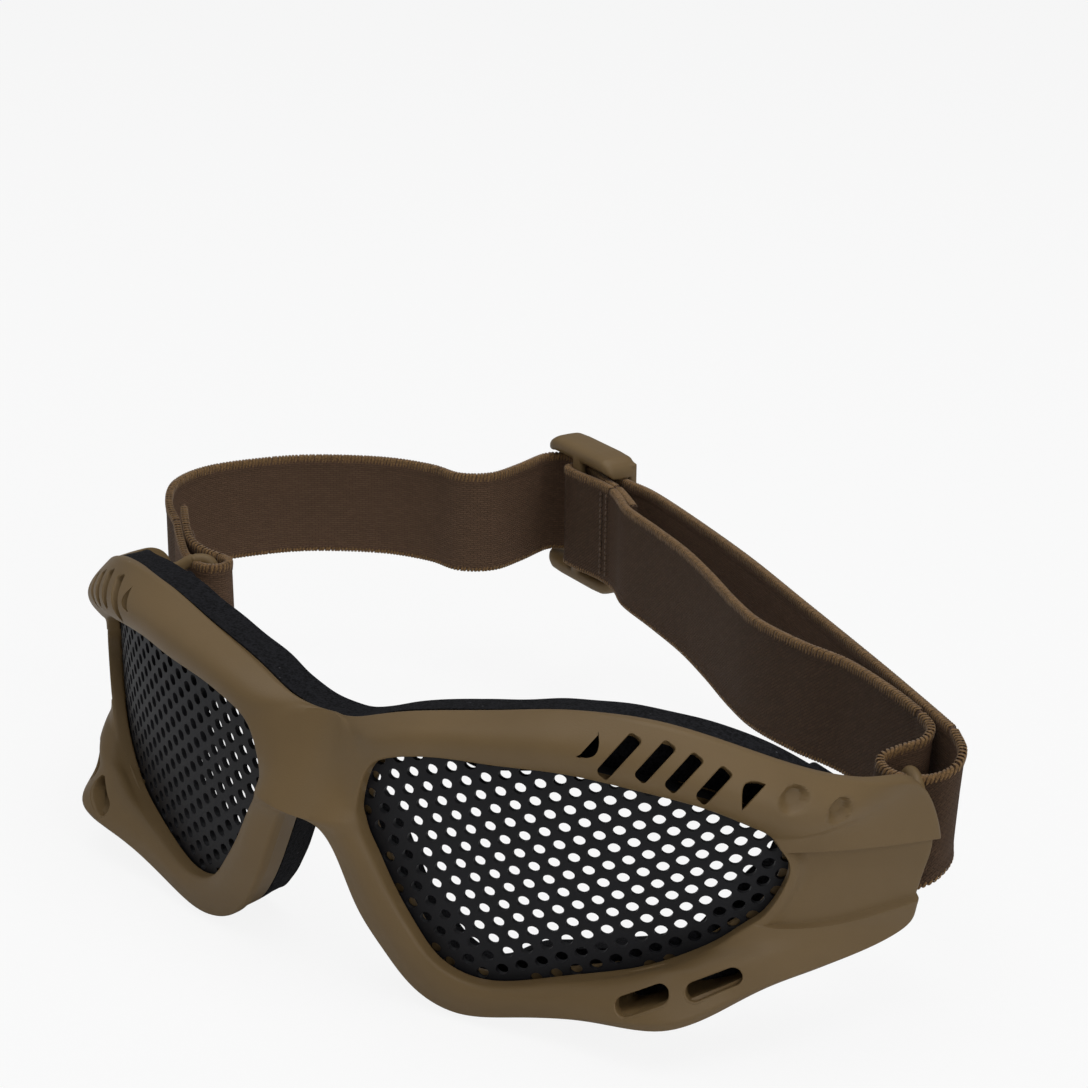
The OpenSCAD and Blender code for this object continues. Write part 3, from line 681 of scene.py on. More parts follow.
LEFT_JOIN, RIGHT_JOIN, INNER_JOIN = [-90.5, 47.6, 5], [80.6, 49.8, 7.2], [72.5, 52.6, 7.2]
LOOP_JOIN, TAIL_JOIN = at_slider(14.5, -5.1), at_slider(14.5, -3.7)
ROUTES = {
    "left_loop": [LEFT_JOIN, [-86.6, 44.7, 2.9], [-82.5, 42, 1.6], [-78.6, 40.6, 1.2],
                  [-75.3, 40.6, 1.2], [-73.6, 42.6, 1.2], [-74.5, 45.4, 1.2], [-77.4, 46.3, 1.2],
                  [-81.4, 45.7, 1.8], [-85.4, 46.1, 3], [-89.6, 49, 5], [-93.4, 52.4, 6.4]],
    "strap_single_run": [LEFT_JOIN, [-96.2, 51.2, 6.8], [-100.6, 57.5, 8.2], [-102, 67.5, 8.3],
                         [-97.6, 78, 8.3], [-91, 86.5, 8.3], [-79.5, 94.2, 8.3], [-69, 96.8, 8.3],
                         [-61, 96.2, 8.3], [-56, 100.5, 8.3], [-55.4, 108, 8.3],
                         at_slider(-10.7, -5.2), at_slider(-9.6, -1.7), at_slider(-7, -0.2),
                         at_slider(-4, 0)],
    "strap_outer_run": [at_slider(-4, 0), at_slider(0, 0), at_slider(12, 0), at_slider(24, 0),
                        [8, 94, 8.3], [31.7, 79.7, 8.1], [55.8, 65.1, 7.8], [71.2, 55.6, 7.5],
                        RIGHT_JOIN],
    "strap_bar_wrap": [RIGHT_JOIN, [84.1, 46.2, 6], [84.5, 43.3, 4], [81.9, 41.6, 2.2],
                       [78, 40.6, 1.4], [74, 40.8, 1.6], [71.8, 42.6, 2.5], [73.6, 44.9, 3.8],
                       [76.3, 47, 5.2], [76, 49.9, 6.4], INNER_JOIN],
    "strap_inner_run": [INNER_JOIN, [65, 56.2, 7.8], [53, 61.5, 8], [42, 63.8, 8], [31, 67.5, 8],
                        [22, 73, 8], [11, 81, 8.1], [0, 88.4, 8.2], [-12, 95, 8.3],
                        at_slider(26, -9), at_slider(19, -6.4), LOOP_JOIN],
    "slider_end_loop": [LOOP_JOIN, at_slider(9, -4.9), at_slider(4, -5.5), at_slider(0, -5.6),
                        at_slider(-1.9, -5.2), at_slider(-2.55, -3.7), at_slider(-1.9, -2.3),
                        at_slider(0, -1.85), at_slider(4, -2), at_slider(9, -3.1), TAIL_JOIN],
    "strap_tail": [TAIL_JOIN, at_slider(18, -4.7), at_slider(22, -6), at_slider(25.5, -7.2)],
}


def route(name):
    """Points every 0.8 mm or so along a webbing route, smoothed through its own points."""
    p = np.array(ROUTES[name], float)
    q = np.concatenate([[2 * p[0] - p[1]], p, [2 * p[-1] - p[-2]]])
    f = np.linspace(0, 1, 25)[:-1, None, None]
    a, b, c, d = q[:-3], q[1:-2], q[2:-1], q[3:]
    fine = 0.5 * (2 * b + (c - a) * f + (2 * a - 5 * b + 4 * c - d) * f ** 2
                  + (3 * b - a - 3 * c + d) * f ** 3)
    fine = np.concatenate([fine.transpose(1, 0, 2).reshape(-1, 3), p[-1:]])
    for _ in range(3):
        fine[1:-1] = (fine[:-2] + 2 * fine[1:-1] + fine[2:]) / 4
    length = np.concatenate([[0], np.cumsum(np.linalg.norm(np.diff(fine, axis=0), axis=1))])
    return fine, length


def leaning(name, share, z):
    """How far webbing round a bar is moved to lean in with the bar, by its share of the route."""
    side = {"left_loop": -1, "strap_bar_wrap": 1}.get(name, 0)
    share = share.reshape(share.shape + (1,) * (z.ndim - share.ndim))
    amount = side * side * ramp(share, 0, 0.3) * (1 - ramp(share, 0.72, 1)) * (BAR_TOP - z)
    return -amount[..., None] * np.array([side * BAR_LEAN[0], BAR_LEAN[1], 0])


def whip_stitches(name, along, total, half, thick, rng):
    """Where the stitches round both edges start, and nine rings of five points for each: a
    thread that slants from one face of the webbing over its edge to the other."""
    pitch = 0.68
    where = 0.5 + np.arange(int((total - 0.6) / pitch)) * pitch
    bend = np.array([-1, -0.62, -0.3, -0.12, 0, 0.12, 0.3, 0.62, 1])
    reach = np.abs(bend)[None]
    flat = np.clip(np.abs(bend) * 4, 0, 1)
    radius = 0.28 * np.sqrt(np.clip(1.08 - np.abs(bend) ** 4, 0, 1))[None, :, None]
    over = half + 0.02
    threads = []
    for up in (-1, 1):
        jitter = rng.normal(0, 0.04, (len(where), 1))
        s = where[:, None] + jitter + up * 0.32 * bend[None]
        c, n, t = along(s)
        low = half - (1.25 if up > 0 else 0.7) - rng.random((len(where), 1)) * 0.25
        height = over - (half - low) * np.clip(reach - 0.12, 0, 1) / 0.88
        height = np.where(reach < 0.2, over, height)
        side = np.sign(bend)[None] * np.clip(reach * 6, 0, 1) * thick
        middle = c + n * side[..., None] + np.array([0, 0, up]) * height[..., None]
        middle = middle + leaning(name, s / total, middle[..., 2])
        out = unit(n * (np.sign(bend) * flat)[None, :, None]
                   + np.array([0, 0, up]) * (1 - flat)[None, :, None])
        ring = [middle + radius * (t * cos(a) + out * sin(a) * 0.42)
                for a in np.radians([0, 60, 120, 180, 270])]
        threads.append(np.stack(ring, 2))
    return where, np.concatenate(threads)


def webbing(name, sizes):
    """A woven strap carried upright along its route: points, faces, UVs, material numbers.

    Its section is a flat band that is thicker along both overlocked edges, where slanted
    whip stitches lie round the edge. u runs along the strap and v across it, in centimetres."""
    fine, length = route(name)
    total = length[-1]
    spot = np.linspace(0, total, int(total / 0.7) + 2)

    def at(s):
        return np.stack([np.interp(s, length, fine[:, k]) for k in range(3)], -1)

    def along(s):
        t = unit((at(s + 0.6) - at(s - 0.6)) * [1, 1, 0])
        return at(s), np.stack([-t[..., 1], t[..., 0], 0 * t[..., 0]], -1), t

    half, thick = sizes.web_width / MM / 2, sizes.web_thick / MM / 2
    v = np.concatenate([np.linspace(-half, -half + 1.9, 7),
                        np.linspace(-half + 2.1, half - 2.1, 22),
                        np.linspace(half - 1.9, half, 7)])
    edge = np.clip((half - np.abs(v)) / 0.55, 0, 1)
    profile = (thick - 0.12 + 0.1 * (np.abs(v) > half - 2)) * np.sqrt(1 - (1 - edge) ** 2)
    profile = np.maximum(profile, 0.02)
    ring_v = np.concatenate([v, v[::-1]])
    ring_n = np.concatenate([profile, -profile[::-1]])
    c, n, _ = along(spot)
    rng = np.random.default_rng(len(name))
    waves = int(total / 6) + 3
    ripple = 0.1 * np.interp(spot, np.linspace(0, total, waves), rng.normal(size=waves))
    sway = ripple[:, None] * np.sin(ring_v / half * 1.3 + 1)[None] * 0.5
    rings = (c[:, None] + n[:, None] * (ring_n[None] + sway)[..., None]
             + np.array([0, 0, 1.0]) * ring_v[None, :, None])
    rings += leaning(name, spot / total, rings[..., 2])
    band, faces = skin(rings, False)
    where, stitches = whip_stitches(name, along, total, half, thick, rng)
    count, each = len(stitches), 9 * 5
    starts = len(band) + np.arange(count)[:, None] * each
    tube_faces = np.array(skin(np.zeros((9, 5, 3)), False)[1][:-2])
    band_faces = len(faces)
    faces += (tube_faces[None] + starts[..., None]).reshape(-1, 4).tolist()
    faces += (starts + [4, 3, 2, 1, 0]).tolist() + (starts + [40, 41, 42, 43, 44]).tolist()
    band_uv = np.stack([np.repeat(spot, len(ring_v)), np.tile(ring_v + half, len(spot))], 1)
    stitch_uv = np.stack([np.repeat(np.concatenate([where, where]), each),
                          np.tile(np.repeat(np.arange(9), 5), count)], 1)
    kind = np.zeros(len(faces), int)
    outer = np.arange(band_faces - 2) % len(ring_v) >= len(v) - 1
    kind[:band_faces - 2] = outer
    kind[band_faces:] = 2
    return (np.concatenate([band, stitches.reshape(-1, 3)]), faces,
            np.concatenate([band_uv, stitch_uv]) / 10, kind)


def with_uv(obj, uv, kind):
    """Gives the mesh one UV map from values at its points, and a material number a face."""
    mesh = obj.data
    loops = np.zeros(len(mesh.loops), np.int32)
    mesh.loops.foreach_get("vertex_index", loops)
    layer = mesh.uv_layers.new(name="UVMap")
    layer.data.foreach_set("uv", uv[loops].astype(np.float32).ravel())
    mesh.polygons.foreach_set("material_index", kind.astype(np.int32))


# Materials
BLACK, WHITE = (0, 0, 0, 1), (1, 1, 1, 1)


def tree(name):
    """A new material, its node tree and its Principled BSDF."""
    m = bpy.data.materials.new(name)
    m.use_nodes = True
    return m, m.node_tree, m.node_tree.nodes["Principled BSDF"]


def feed(nt, n, inputs):
    """A node's inputs, each set to a value or linked from a socket."""
    for key, value in inputs.items():
        if isinstance(value, bpy.types.NodeSocket):
            nt.links.new(value, n.inputs[key])
        else:
            n.inputs[key].default_value = value


def node(nt, kind, inputs=None, **settings):
    """A new node with its settings and its inputs."""
    n = nt.nodes.new(kind)
    for key, value in settings.items():
        setattr(n, key, value)
    feed(nt, n, inputs or {})
    return n


def srgb(r, g, b):
    """A colour given as 0 to 255 on screen, as linear values."""
    c = np.array([r, g, b]) / 255
    c = np.where(c <= 0.04045, c / 12.92, ((c + 0.055) / 1.055) ** 2.4)
    return (*c.tolist(), 1.0)


def shade(color, factor):
    """A colour made lighter or darker."""
    return (*(min(1.0, c * factor) for c in color[:3]), 1.0)


def color_ramp(nt, fac, stops):
    """A colour ramp over a factor, from (place, colour) stops."""
    n = node(nt, "ShaderNodeValToRGB", {"Fac": fac})
    while len(n.color_ramp.elements) < len(stops):
        n.color_ramp.elements.new(0.5)
    for e, (place, color) in zip(n.color_ramp.elements, stops):
        e.position = place
        e.color = color
    return n.outputs["Color"]


def mix(nt, fac, a, b, blend="MIX"):
    """Two colours mixed."""
    return node(nt, "ShaderNodeMix", {"Factor": fac, 6: a, 7: b}, data_type="RGBA",
                blend_type=blend).outputs[2]


def maths(nt, operation, a, b):
    """One operation on two numbers or sockets."""
    return node(nt, "ShaderNodeMath", {0: a, 1: b}, operation=operation).outputs[0]


def between(nt, fac, low, high):
    """A factor spread from low to high."""
    return node(nt, "ShaderNodeMapRange", {"Value": fac, "To Min": low, "To Max": high}).outputs[0]


def object_point(nt):
    """The point in the object's own coordinates."""
    return node(nt, "ShaderNodeTexCoord").outputs["Object"]


def noise(nt, vector, scale, detail=2.0, roughness=0.5):
    """A noise texture's factor."""
    return node(nt, "ShaderNodeTexNoise", {"Vector": vector, "Scale": scale, "Detail": detail,
                                           "Roughness": roughness}).outputs["Fac"]


def cells(nt, vector, scale):
    """The distance to the nearest point of a Voronoi texture."""
    return node(nt, "ShaderNodeTexVoronoi", {"Vector": vector, "Scale": scale},
                feature="F1").outputs["Distance"]


def bump(nt, height, distance, strength, normal=None):
    """A normal bumped by a height over a distance in metres."""
    inputs = {"Height": height, "Distance": distance, "Strength": strength}
    if normal is not None:
        inputs["Normal"] = normal
    return node(nt, "ShaderNodeBump", inputs).outputs["Normal"]


def moulded(name, color, light, dark):
    """Satin moulded polymer: faint flow marks, fine grain, a few dust specks."""
    m, nt, p = tree(name)
    where = object_point(nt)
    flow = noise(nt, where, 210, 4, 0.6)
    tone = color_ramp(nt, noise(nt, where, 38, 3), [(0.3, dark), (0.5, color), (0.72, light)])
    tone = mix(nt, maths(nt, "MULTIPLY", flow, 0.16), tone, light)
    dust = color_ramp(nt, cells(nt, where, 260.0), [(0.035, WHITE), (0.06, BLACK)])
    rare = color_ramp(nt, noise(nt, where, 90, 1), [(0.62, BLACK), (0.68, WHITE)])
    dusty = mix(nt, 1.0, dust, rare, "MULTIPLY")
    tone = mix(nt, maths(nt, "MULTIPLY", dusty, 0.5), tone, srgb(190, 184, 168))
    grain = bump(nt, noise(nt, where, 3600, 2, 0.6), 0.00004, 0.7)
    feed(nt, p, {"Base Color": tone, "Roughness": between(nt, flow, 0.44, 0.58),
                 "Specular IOR Level": 0.36, "Normal": bump(nt, flow, 0.00005, 0.35, grain)})
    return m


def mesh_metal():
    """Sheet metal painted black: a smooth coat, a little orange peel, faint dust."""
    m, nt, p = tree("painted mesh")
    where = object_point(nt)
    cloud = noise(nt, where, 160, 3)
    feed(nt, p, {"Base Color": color_ramp(nt, cloud, [(0.3, srgb(14, 14, 17)),
                                                      (0.7, srgb(24, 24, 28))]),
                 "Roughness": between(nt, cloud, 0.5, 0.62), "Specular IOR Level": 0.3,
                 "Normal": bump(nt, noise(nt, where, 2200, 2), 0.00003, 0.5)})
    return m


def foam():
    """Closed-cell foam: pores of two sizes, matt, near black, with painted shade in the pores and
    a few pale specks.
    """
    m, nt, p = tree("foam")
    where = object_point(nt)
    pores = maths(nt, "ADD", cells(nt, where, 2300.0),
                  maths(nt, "MULTIPLY", cells(nt, where, 900.0), 0.6))
    # Near-black tone keyed to the bump's pores: painted shade, darkest in each pit where the bump
    # sinks.
    tone = color_ramp(nt, pores, [(0.15, srgb(7, 7, 8)), (0.6, srgb(22, 22, 24)),
                                  (1.0, srgb(34, 34, 37))])
    lint = color_ramp(nt, cells(nt, where, 330.0), [(0.04, WHITE), (0.07, BLACK)])
    tone = mix(nt, maths(nt, "MULTIPLY", lint, 0.35), tone, srgb(120, 120, 124))
    feed(nt, p, {"Base Color": tone, "Roughness": 0.92, "Specular IOR Level": 0.12,
                 "Normal": bump(nt, pores, 0.00022, 0.8)})
    return m


def woven(name, color, light, dark, brick):
    """Elastic webbing: rows of short floats in brick order, or a fine diagonal twill."""
    m, nt, p = tree(name)
    where = node(nt, "ShaderNodeUVMap", uv_map="UVMap").outputs["UV"]
    if brick:
        floats, gap, width, row, second = where, 0.0085, 0.13, 0.042, 0.72
    else:
        floats = node(nt, "ShaderNodeMapping", {
            "Vector": where, "Rotation": (0, 0, radians(38))}).outputs[0]
        gap, width, row, second = 0.009, 0.11, 0.05, 0.7
    height = node(nt, "ShaderNodeTexBrick", {
        "Vector": floats, "Scale": 1.0, "Mortar Size": gap, "Mortar Smooth": 1.0,
        "Brick Width": width, "Row Height": row, "Color1": WHITE,
        "Color2": (second, second, second, 1), "Mortar": BLACK}).outputs["Color"]
    fibre = noise(nt, where, 90, 4, 0.7)
    tone = color_ramp(nt, height, [(0.0, dark), (0.75, color), (1.0, light)])
    tone = mix(nt, maths(nt, "MULTIPLY", fibre, 0.35), tone, dark)
    tone = mix(nt, maths(nt, "MULTIPLY", noise(nt, where, 1.6, 3), 0.25), tone, light)
    relief = maths(nt, "ADD", height, maths(nt, "MULTIPLY", fibre, 0.5))
    feed(nt, p, {"Base Color": tone, "Roughness": 0.85, "Specular IOR Level": 0.3,
                 "Sheen Weight": 0.25, "Sheen Roughness": 0.5, "Sheen Tint": light,
                 "Normal": bump(nt, relief, 0.00016, 0.9)})
    return m


def thread(name, color, light, dark):
    """Spun thread: fibres across it, matt, with painted shade in the hollows between the fibres
    and painted light on their tops.
    """
    m, nt, p = tree(name)
    where = object_point(nt)
    fibre = noise(nt, where, 2600, 3, 0.7)
    # Tone from the bump's own fibre noise: painted shade in the hollows, painted light on the
    # fibres' tops.
    tone = color_ramp(nt, fibre, [(0.3, dark), (0.55, color), (0.75, light)])
    tone = mix(nt, maths(nt, "MULTIPLY", noise(nt, where, 120, 2), 0.3), tone, light)
    feed(nt, p, {"Base Color": tone, "Roughness": 0.8, "Specular IOR Level": 0.3,
                 "Sheen Weight": 0.2, "Normal": bump(nt, fibre, 0.00006, 0.8)})
    return m


def slider_mesh():
    """The slider's solids: two thick rounded ends, two end bars and a middle bar."""
    reach, end, around = 11.4, 3.4, 24
    height = 20 + 1.8 + 2 * end
    z_end = (height - end) / 2
    parts = []
    a = np.linspace(0, 2 * pi, around, endpoint=False)
    x = reach * np.array([-1, -0.995, -0.97, -0.91, -0.79, -0.5, 0,
                          0.5, 0.79, 0.91, 0.97, 0.995, 1])
    corner = 3.6
    for side in (-1, 1):
        inside = np.clip((np.abs(x) - (reach - corner)) / corner, 0, 1)
        drop = corner * (1 - np.sqrt(1 - inside ** 2))
        shrink = np.clip(1 - drop / 5.4, 0.28, 1)
        y = np.sign(np.cos(a)) * np.abs(np.cos(a)) ** 0.55 * 3.8
        z = np.sign(np.sin(a)) * np.abs(np.sin(a)) ** 0.8 * end / 2
        ring = np.stack([np.repeat(x[:, None], around, 1),
                         -0.8 + y[None] * np.sqrt(shrink)[:, None],
                         side * (z_end - drop[:, None] * 0.55) + z[None] * shrink[:, None]], -1)
        parts.append(skin(ring, False))
    for x0, x1, y0, y1 in ((-11.2, -8.7, 1.1, 2.9), (8.7, 11.2, 1.1, 2.9),
                           (-1.5, 1.5, -4.6, -2.8)):
        z = np.linspace(-z_end - 0.2, z_end + 0.2, 9)
        cx, cy, hx, hy = (x0 + x1) / 2, (y0 + y1) / 2, (x1 - x0) / 2, (y1 - y0) / 2
        bx = np.sign(np.cos(a)) * np.abs(np.cos(a)) ** 0.6 * hx
        by = np.sign(np.sin(a)) * np.abs(np.sin(a)) ** 0.6 * hy
        ring = np.stack([np.repeat((cx + bx)[None], 9, 0), np.repeat((cy + by)[None], 9, 0),
                         np.repeat(z[:, None], around, 1)], -1)
        parts.append(skin(ring, False))
    points, faces = joined(parts)
    origin, *axes = np.array([at_slider(px, py, STRAP_Z + pz) for px, py, pz in (
        (0, 0, 0), (1, 0, 0), (0, 1, 0), (0, 0, 1))])
    return origin + points @ (np.array(axes) - origin), faces


def evaluated(obj):
    """A new mesh of the object with its modifiers, which it loses."""
    graph = bpy.context.evaluated_depsgraph_get()
    mesh = bpy.data.meshes.new_from_object(obj.evaluated_get(graph))
    obj.modifiers.clear()
    return mesh


def remeshed(obj, voxel, rounds):
    """The object's solids as one skin of small even faces, smoothed a few rounds."""
    m = obj.modifiers.new("remesh", "REMESH")
    m.mode = "VOXEL"
    m.voxel_size = voxel
    s = obj.modifiers.new("smooth", "SMOOTH")
    s.factor = 0.5
    s.iterations = rounds
    mesh = evaluated(obj)
    materials = list(obj.data.materials)
    obj.data = mesh
    mesh.materials.clear()
    for mat in materials:
        mesh.materials.append(mat)
    smooth(mesh, 180)


def capsules(centers, axis, out, length, radius):
    """Short rounded threads: rings of five points that shrink towards both ends."""
    q = np.array([-1, -0.8, -0.4, 0.4, 0.8, 1.0])
    size = np.array([0.35, 0.8, 1, 1, 0.8, 0.35])
    aside = np.cross(axis, out)
    a = np.radians([0, 72, 144, 216, 288])
    ring = (q[:, None, None] * length / 2 * axis
            + radius * size[:, None, None] * (np.cos(a)[None, :, None] * aside
                                              + np.sin(a)[None, :, None] * out))
    base = skin(np.zeros((6, 5, 3)), False)[1]
    return joined([(c + ring.reshape(-1, 3), base) for c in centers])


def tack_threads(origin, turn, faces_at):
    """Two columns of short stitches across the webbing on both of its faces."""
    apart, high, pitch = 2.0, 17, 1.15
    t = radians(turn)
    ahead, normal = np.array([cos(t), sin(t), 0]), np.array([-sin(t), cos(t), 0])
    count = int(high / pitch)
    k = np.arange(count + 1)
    parts = []
    for x in (0, apart):
        for face in faces_at:
            centers = (np.array(origin) + x * ahead + face * normal
                       + np.array([0, 0, 1.0]) * ((k - count / 2) * pitch)[:, None])
            parts.append(capsules(centers, np.array([0.25 * ahead[0], 0.25 * ahead[1], 0.97]),
                                  normal * np.sign(face), pitch * 0.86, 0.24))
    return joined(parts)


def length_property(name, description, default=0.0):
    return FloatProperty(name=name, description=description, default=default, unit="LENGTH")


def color_property(name, description, default):
    return FloatVectorProperty(name=name, description=description, subtype="COLOR", size=4,
                               min=0, max=1, default=default)


class GogglesSizes(bpy.types.PropertyGroup):
    """Sizes that a user would change"""
    hole_pitch: length_property("Hole Pitch", "Distance between the holes' centres", 0.0031)
    hole_size: length_property("Hole Size", "Mean width of each hole in the lenses", 0.00196)
    phase_x: length_property("Pattern Shift X", "Shifts the hole pattern sideways")
    phase_z: length_property("Pattern Shift Z", "Shifts the hole pattern upwards")
    web_width: length_property("Webbing Width", "Width of the strap", 0.02)
    web_thick: length_property("Webbing Thickness", "Thickness of the strap", 0.0013)


class GogglesColors(bpy.types.PropertyGroup):
    """Colours that a user would change"""
    polymer: color_property("Front", "Colour of the moulded front", srgb(117, 95, 62))
    webbing: color_property("Webbing", "Colour of the strap", srgb(102, 78, 59))


def dress(obj, body, slot, *nodes):
    """The piece rides on a body and stands for its CAD nodes, which are hidden. slot is not used.
    """
    if body:
        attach(obj, body)
    if nodes:
        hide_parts(*nodes)
    return obj


def polymer_material(context):
    """The front's polymer, which the bars and the flanges share."""
    c = context.scene.goggles_colors.polymer
    return moulded("coyote polymer", tuple(c), shade(c, 1.12), shade(c, 0.9))


def web_materials(context):
    """Inner face, outer face and overlock thread, made once."""
    if "webbing inner face" not in bpy.data.materials:
        c = context.scene.goggles_colors.webbing
        woven("webbing inner face", shade(c, 0.62), shade(c, 0.85), shade(c, 0.35), False)
        woven("webbing outer face", tuple(c), shade(c, 1.3), shade(c, 0.5), True)
        # Thread colours: the third is the painted shade in its hollows; the second is a lighter
        # tone that is also the painted light on the fibres' tops.
        thread("overlock thread", srgb(124, 94, 58), srgb(160, 124, 78), srgb(66, 46, 28))
    return [bpy.data.materials[n] for n in ("webbing inner face", "webbing outer face",
                                            "overlock thread")]


class GOGGLES_OT_front(bpy.types.Operator):
    """Builds the moulded front with its vents, dimples and walls"""
    bl_idname = "goggles.front"
    bl_label = "Moulded Front"

    def execute(self, context):
        obj = bpy.data.objects.new("front_moulding", shell_mesh())
        context.scene.collection.objects.link(obj)
        cut(obj, new_object("vent_cutters", both_halves(vent_cutters(4.0)), []))
        walls = new_object("walls", both_halves(wall_sections()), [])
        low = low_vent_cutters(12.0, 1.2, [0.59, -0.71, 0.38])
        cut(walls, new_object("low_vent_cutters", both_halves(low), []))
        bm = bmesh.new()
        bm.from_mesh(obj.data)
        bm.from_mesh(walls.data)
        bm.to_mesh(obj.data)
        bm.free()
        bpy.data.objects.remove(walls)
        smooth(obj.data, 30)
        obj.data.materials.clear()
        obj.data.materials.append(polymer_material(context))
        dress(obj, "front", "frame_polymer", "frame")
        return {"FINISHED"}


class GOGGLES_OT_bars(bpy.types.Operator):
    """Builds the two strap bars"""
    bl_idname = "goggles.bars"
    bl_label = "Strap Bars"

    def execute(self, context):
        for side, node_name in ((1, "strap_bar_right"), (-1, "strap_bar_left")):
            obj = new_object(node_name + "_rod", tube(bar_path(side), BAR_RADIUS),
                             [bpy.data.materials["coyote polymer"]])
            dress(obj, "front", "frame_polymer", node_name)
        return {"FINISHED"}


class GOGGLES_OT_lenses(bpy.types.Operator):
    """Builds the perforated lenses and the flanges behind them"""
    bl_idname = "goggles.lenses"
    bl_label = "Mesh Lenses"

    def execute(self, context):
        metal, polymer = mesh_metal(), bpy.data.materials["coyote polymer"]
        right = [lens_sheet(context.scene.goggles_sizes), lens_flange()]
        for word, parts in (("right", right), ("left", [mirrored(part) for part in right])):
            sheet = new_object("lens_mesh_" + word, parts[0], [metal], 40)
            dress(sheet, "front", "mesh_metal", "mesh_" + word)
            rim = new_object("lens_flange_" + word, parts[1], [polymer])
            dress(rim, "front", "frame_polymer", "mesh_rim_" + word)
        return {"FINISHED"}


class GOGGLES_OT_pad(bpy.types.Operator):
    """Builds the foam pad"""
    bl_idname = "goggles.pad"
    bl_label = "Foam Pad"

    def execute(self, context):
        obj = new_object("face_foam", skin(pad_rings(), True), [foam()], 40)
        dress(obj, "front", "foam", "foam_pad")
        return {"FINISHED"}


class GOGGLES_OT_strap(bpy.types.Operator):
    """Builds every stretch of the webbing"""
    bl_idname = "goggles.strap"
    bl_label = "Webbing Strap"

    def execute(self, context):
        sizes = context.scene.goggles_sizes
        materials = web_materials(context)
        bodies = {"strap_single_run": "strap", "strap_outer_run": "strap",
                  "slider_end_loop": "adjuster", "strap_tail": "adjuster"}
        for name in ROUTES:
            points, faces, uv, kind = webbing(name, sizes)
            obj = new_object(name + "_web", (points, faces), materials, 60, facing=False)
            with_uv(obj, uv, kind)
            dress(obj, bodies.get(name), "webbing", name)
            if name in ("left_loop", "strap_bar_wrap"):
                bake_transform(obj)
            elif name == "strap_inner_run":
                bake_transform(obj)
        return {"FINISHED"}


class GOGGLES_OT_slider(bpy.types.Operator):
    """Builds the strap slider"""
    bl_idname = "goggles.slider"
    bl_label = "Slider"

    def execute(self, context):
        c = context.scene.goggles_colors.polymer
        plastic = moulded("slider polymer", shade(c, 1.12), shade(c, 1.3), shade(c, 1.0))
        obj = new_object("strap_slider", slider_mesh(), [plastic])
        remeshed(obj, 0.00022, 6)
        dress(obj, "adjuster", "slider_polymer", "slider")
        return {"FINISHED"}


class GOGGLES_OT_stitching(bpy.types.Operator):
    """Builds the stitching of both sewn loops"""
    bl_idname = "goggles.stitching"
    bl_label = "Stitching"

    def execute(self, context):
        # Thread colours: the third is the painted shade in its hollows; the second is a lighter
        # tone that is also the painted light on the fibres' tops.
        yarn = thread("tack thread", srgb(104, 82, 62), srgb(140, 112, 84), srgb(58, 42, 32))
        near = new_object("slider_tack", tack_threads(at_slider(11.2, -4.45), -20, (-1.2, 1.2)),
                          [yarn])
        dress(near, "adjuster", "thread", "slider_stitching")
        far = new_object("left_loop_tack", tack_threads([-87.9, 47.2, 4.2], 143, (-1.6, 1.6)),
                         [yarn])
        dress(far, None, "thread", "left_loop_stitching")
        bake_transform(far)
        return {"FINISHED"}


def pale_floor():
    """A sheet of pale paper, which the camera sees almost as white as its glow."""
    low, half = CAD_BOX[0][2] - 0.0005, 4
    mesh = bpy.data.meshes.new("floor")
    mesh.from_pydata([(-half, -half, low), (half, -half, low), (half, half, low),
                      (-half, half, low)], [], [(0, 1, 2, 3)])
    m, nt, p = tree("pale floor")
    paper = color_ramp(nt, noise(nt, object_point(nt), 400, 2), [
        (0, srgb(238, 238, 238)), (1, srgb(246, 246, 246))])
    feed(nt, p, {"Base Color": paper, "Roughness": 0.9})
    glow = node(nt, "ShaderNodeEmission", {"Color": WHITE, "Strength": 1.0})
    seen = node(nt, "ShaderNodeLightPath").outputs["Is Camera Ray"]
    shown = node(nt, "ShaderNodeMixShader", {
        "Fac": maths(nt, "MULTIPLY", seen, 0.88), 1: p.outputs[0], 2: glow.outputs[0]})
    nt.links.new(shown.outputs[0], nt.nodes["Material Output"].inputs["Surface"])
    mesh.materials.append(m)
    return bpy.data.objects.new("floor", mesh)


def studio_world():
    """A dim world for the light, which the camera sees brighter."""
    world = bpy.data.worlds.new("studio")
    world.use_nodes = True
    nt = world.node_tree
    seen = node(nt, "ShaderNodeLightPath").outputs["Is Camera Ray"]
    strength = maths(nt, "ADD", maths(nt, "MULTIPLY", seen, 0.71), 0.25)
    feed(nt, nt.nodes["Background"], {"Color": (0.95, 0.97, 1.0, 1), "Strength": strength})
    return world


def softbox(name, place, size, power):
    """A square lamp that faces the goggles."""
    lamp = bpy.data.lights.new(name, "AREA")
    lamp.energy = power
    lamp.size = size
    obj = bpy.data.objects.new(name, lamp)
    obj.location = place
    facing = Vector((0, 0.03, 0)) - Vector(place)
    obj.rotation_euler = facing.to_track_quat("-Z", "Y").to_euler()
    return obj


def photo_camera():
    """The camera of the lower picture."""
    cam = bpy.data.cameras.new("camera")
    cam.sensor_width = 36
    cam.lens = 97.38
    cam.shift_x = 0.0517
    cam.shift_y = 0.1498
    cam.clip_start = 0.01
    cam.clip_end = 20
    obj = bpy.data.objects.new("camera", cam)
    obj.location = (0.2973, -0.3245, 0.1964)
    turn, tilt = radians(39.827), radians(22.401)
    ahead = Vector((-sin(turn) * cos(tilt), cos(turn) * cos(tilt), -sin(tilt)))
    obj.rotation_euler = ahead.to_track_quat("-Z", "Y").to_euler()
    return obj


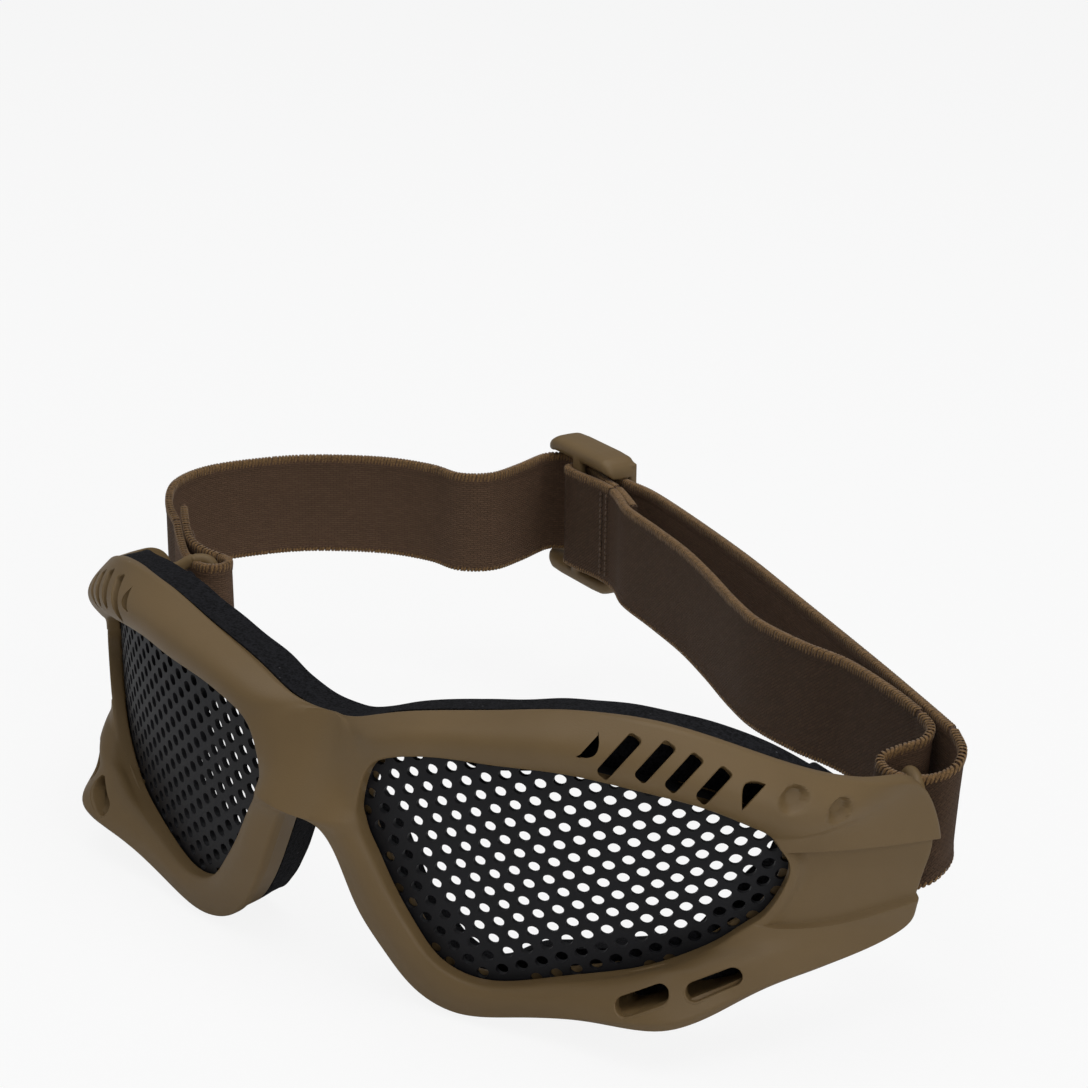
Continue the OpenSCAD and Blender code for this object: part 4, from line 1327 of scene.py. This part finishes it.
class GOGGLES_OT_stage(bpy.types.Operator):
    """Builds the floor, the lamps, the world and the camera"""
    bl_idname = "goggles.stage"
    bl_label = "Stage"

    def execute(self, context):
        scene = context.scene
        scene.view_settings.view_transform = "Standard"
        floor = pale_floor()
        scene.collection.objects.link(floor)
        scene.world = studio_world()
        for lamp in (("top_softbox", (0.05, 0.0, 0.9), 0.9, 4.1),
                     ("right_softbox", (0.95, -0.3, 0.45), 0.6, 2.3),
                     ("left_softbox", (-0.8, -0.3, 0.4), 0.6, 0.35)):
            scene.collection.objects.link(softbox(*lamp))
        camera = photo_camera()
        scene.collection.objects.link(camera)
        scene.camera = camera
        return {"FINISHED"}


class GOGGLES_PT_panel(bpy.types.Panel):
    """The goggles' pieces, sizes and colours"""
    bl_idname = "GOGGLES_PT_panel"
    bl_label = "Mesh-Lens Goggles"
    bl_space_type = "VIEW_3D"
    bl_region_type = "UI"
    bl_category = "Goggles"

    def draw(self, context):
        layout = self.layout
        for group in (context.scene.goggles_sizes, context.scene.goggles_colors):
            column = layout.column(align=True)
            for name in group.__annotations__:
                column.prop(group, name)
        column = layout.column(align=True)
        for operator in OPERATORS:
            column.operator(operator.bl_idname)


OPERATORS = (GOGGLES_OT_front, GOGGLES_OT_bars, GOGGLES_OT_lenses, GOGGLES_OT_pad,
             GOGGLES_OT_strap, GOGGLES_OT_slider, GOGGLES_OT_stitching, GOGGLES_OT_stage)
CLASSES = (GogglesSizes, GogglesColors) + OPERATORS + (GOGGLES_PT_panel,)


def register():
    """Makes the classes and the two groups of properties known to Blender."""
    for cls in CLASSES:
        bpy.utils.register_class(cls)
    bpy.types.Scene.goggles_sizes = PointerProperty(type=GogglesSizes)
    bpy.types.Scene.goggles_colors = PointerProperty(type=GogglesColors)


def unregister():
    """Takes back what register did."""
    del bpy.types.Scene.goggles_colors
    del bpy.types.Scene.goggles_sizes
    for cls in reversed(CLASSES):
        bpy.utils.unregister_class(cls)


def main():
    """Builds every piece."""
    register()
    bpy.ops.goggles.stage()
    bpy.ops.goggles.front()
    bpy.ops.goggles.bars()
    bpy.ops.goggles.lenses()
    bpy.ops.goggles.pad()
    bpy.ops.goggles.strap()
    bpy.ops.goggles.slider()
    bpy.ops.goggles.stitching()


if __name__ == "__main__":
    main()
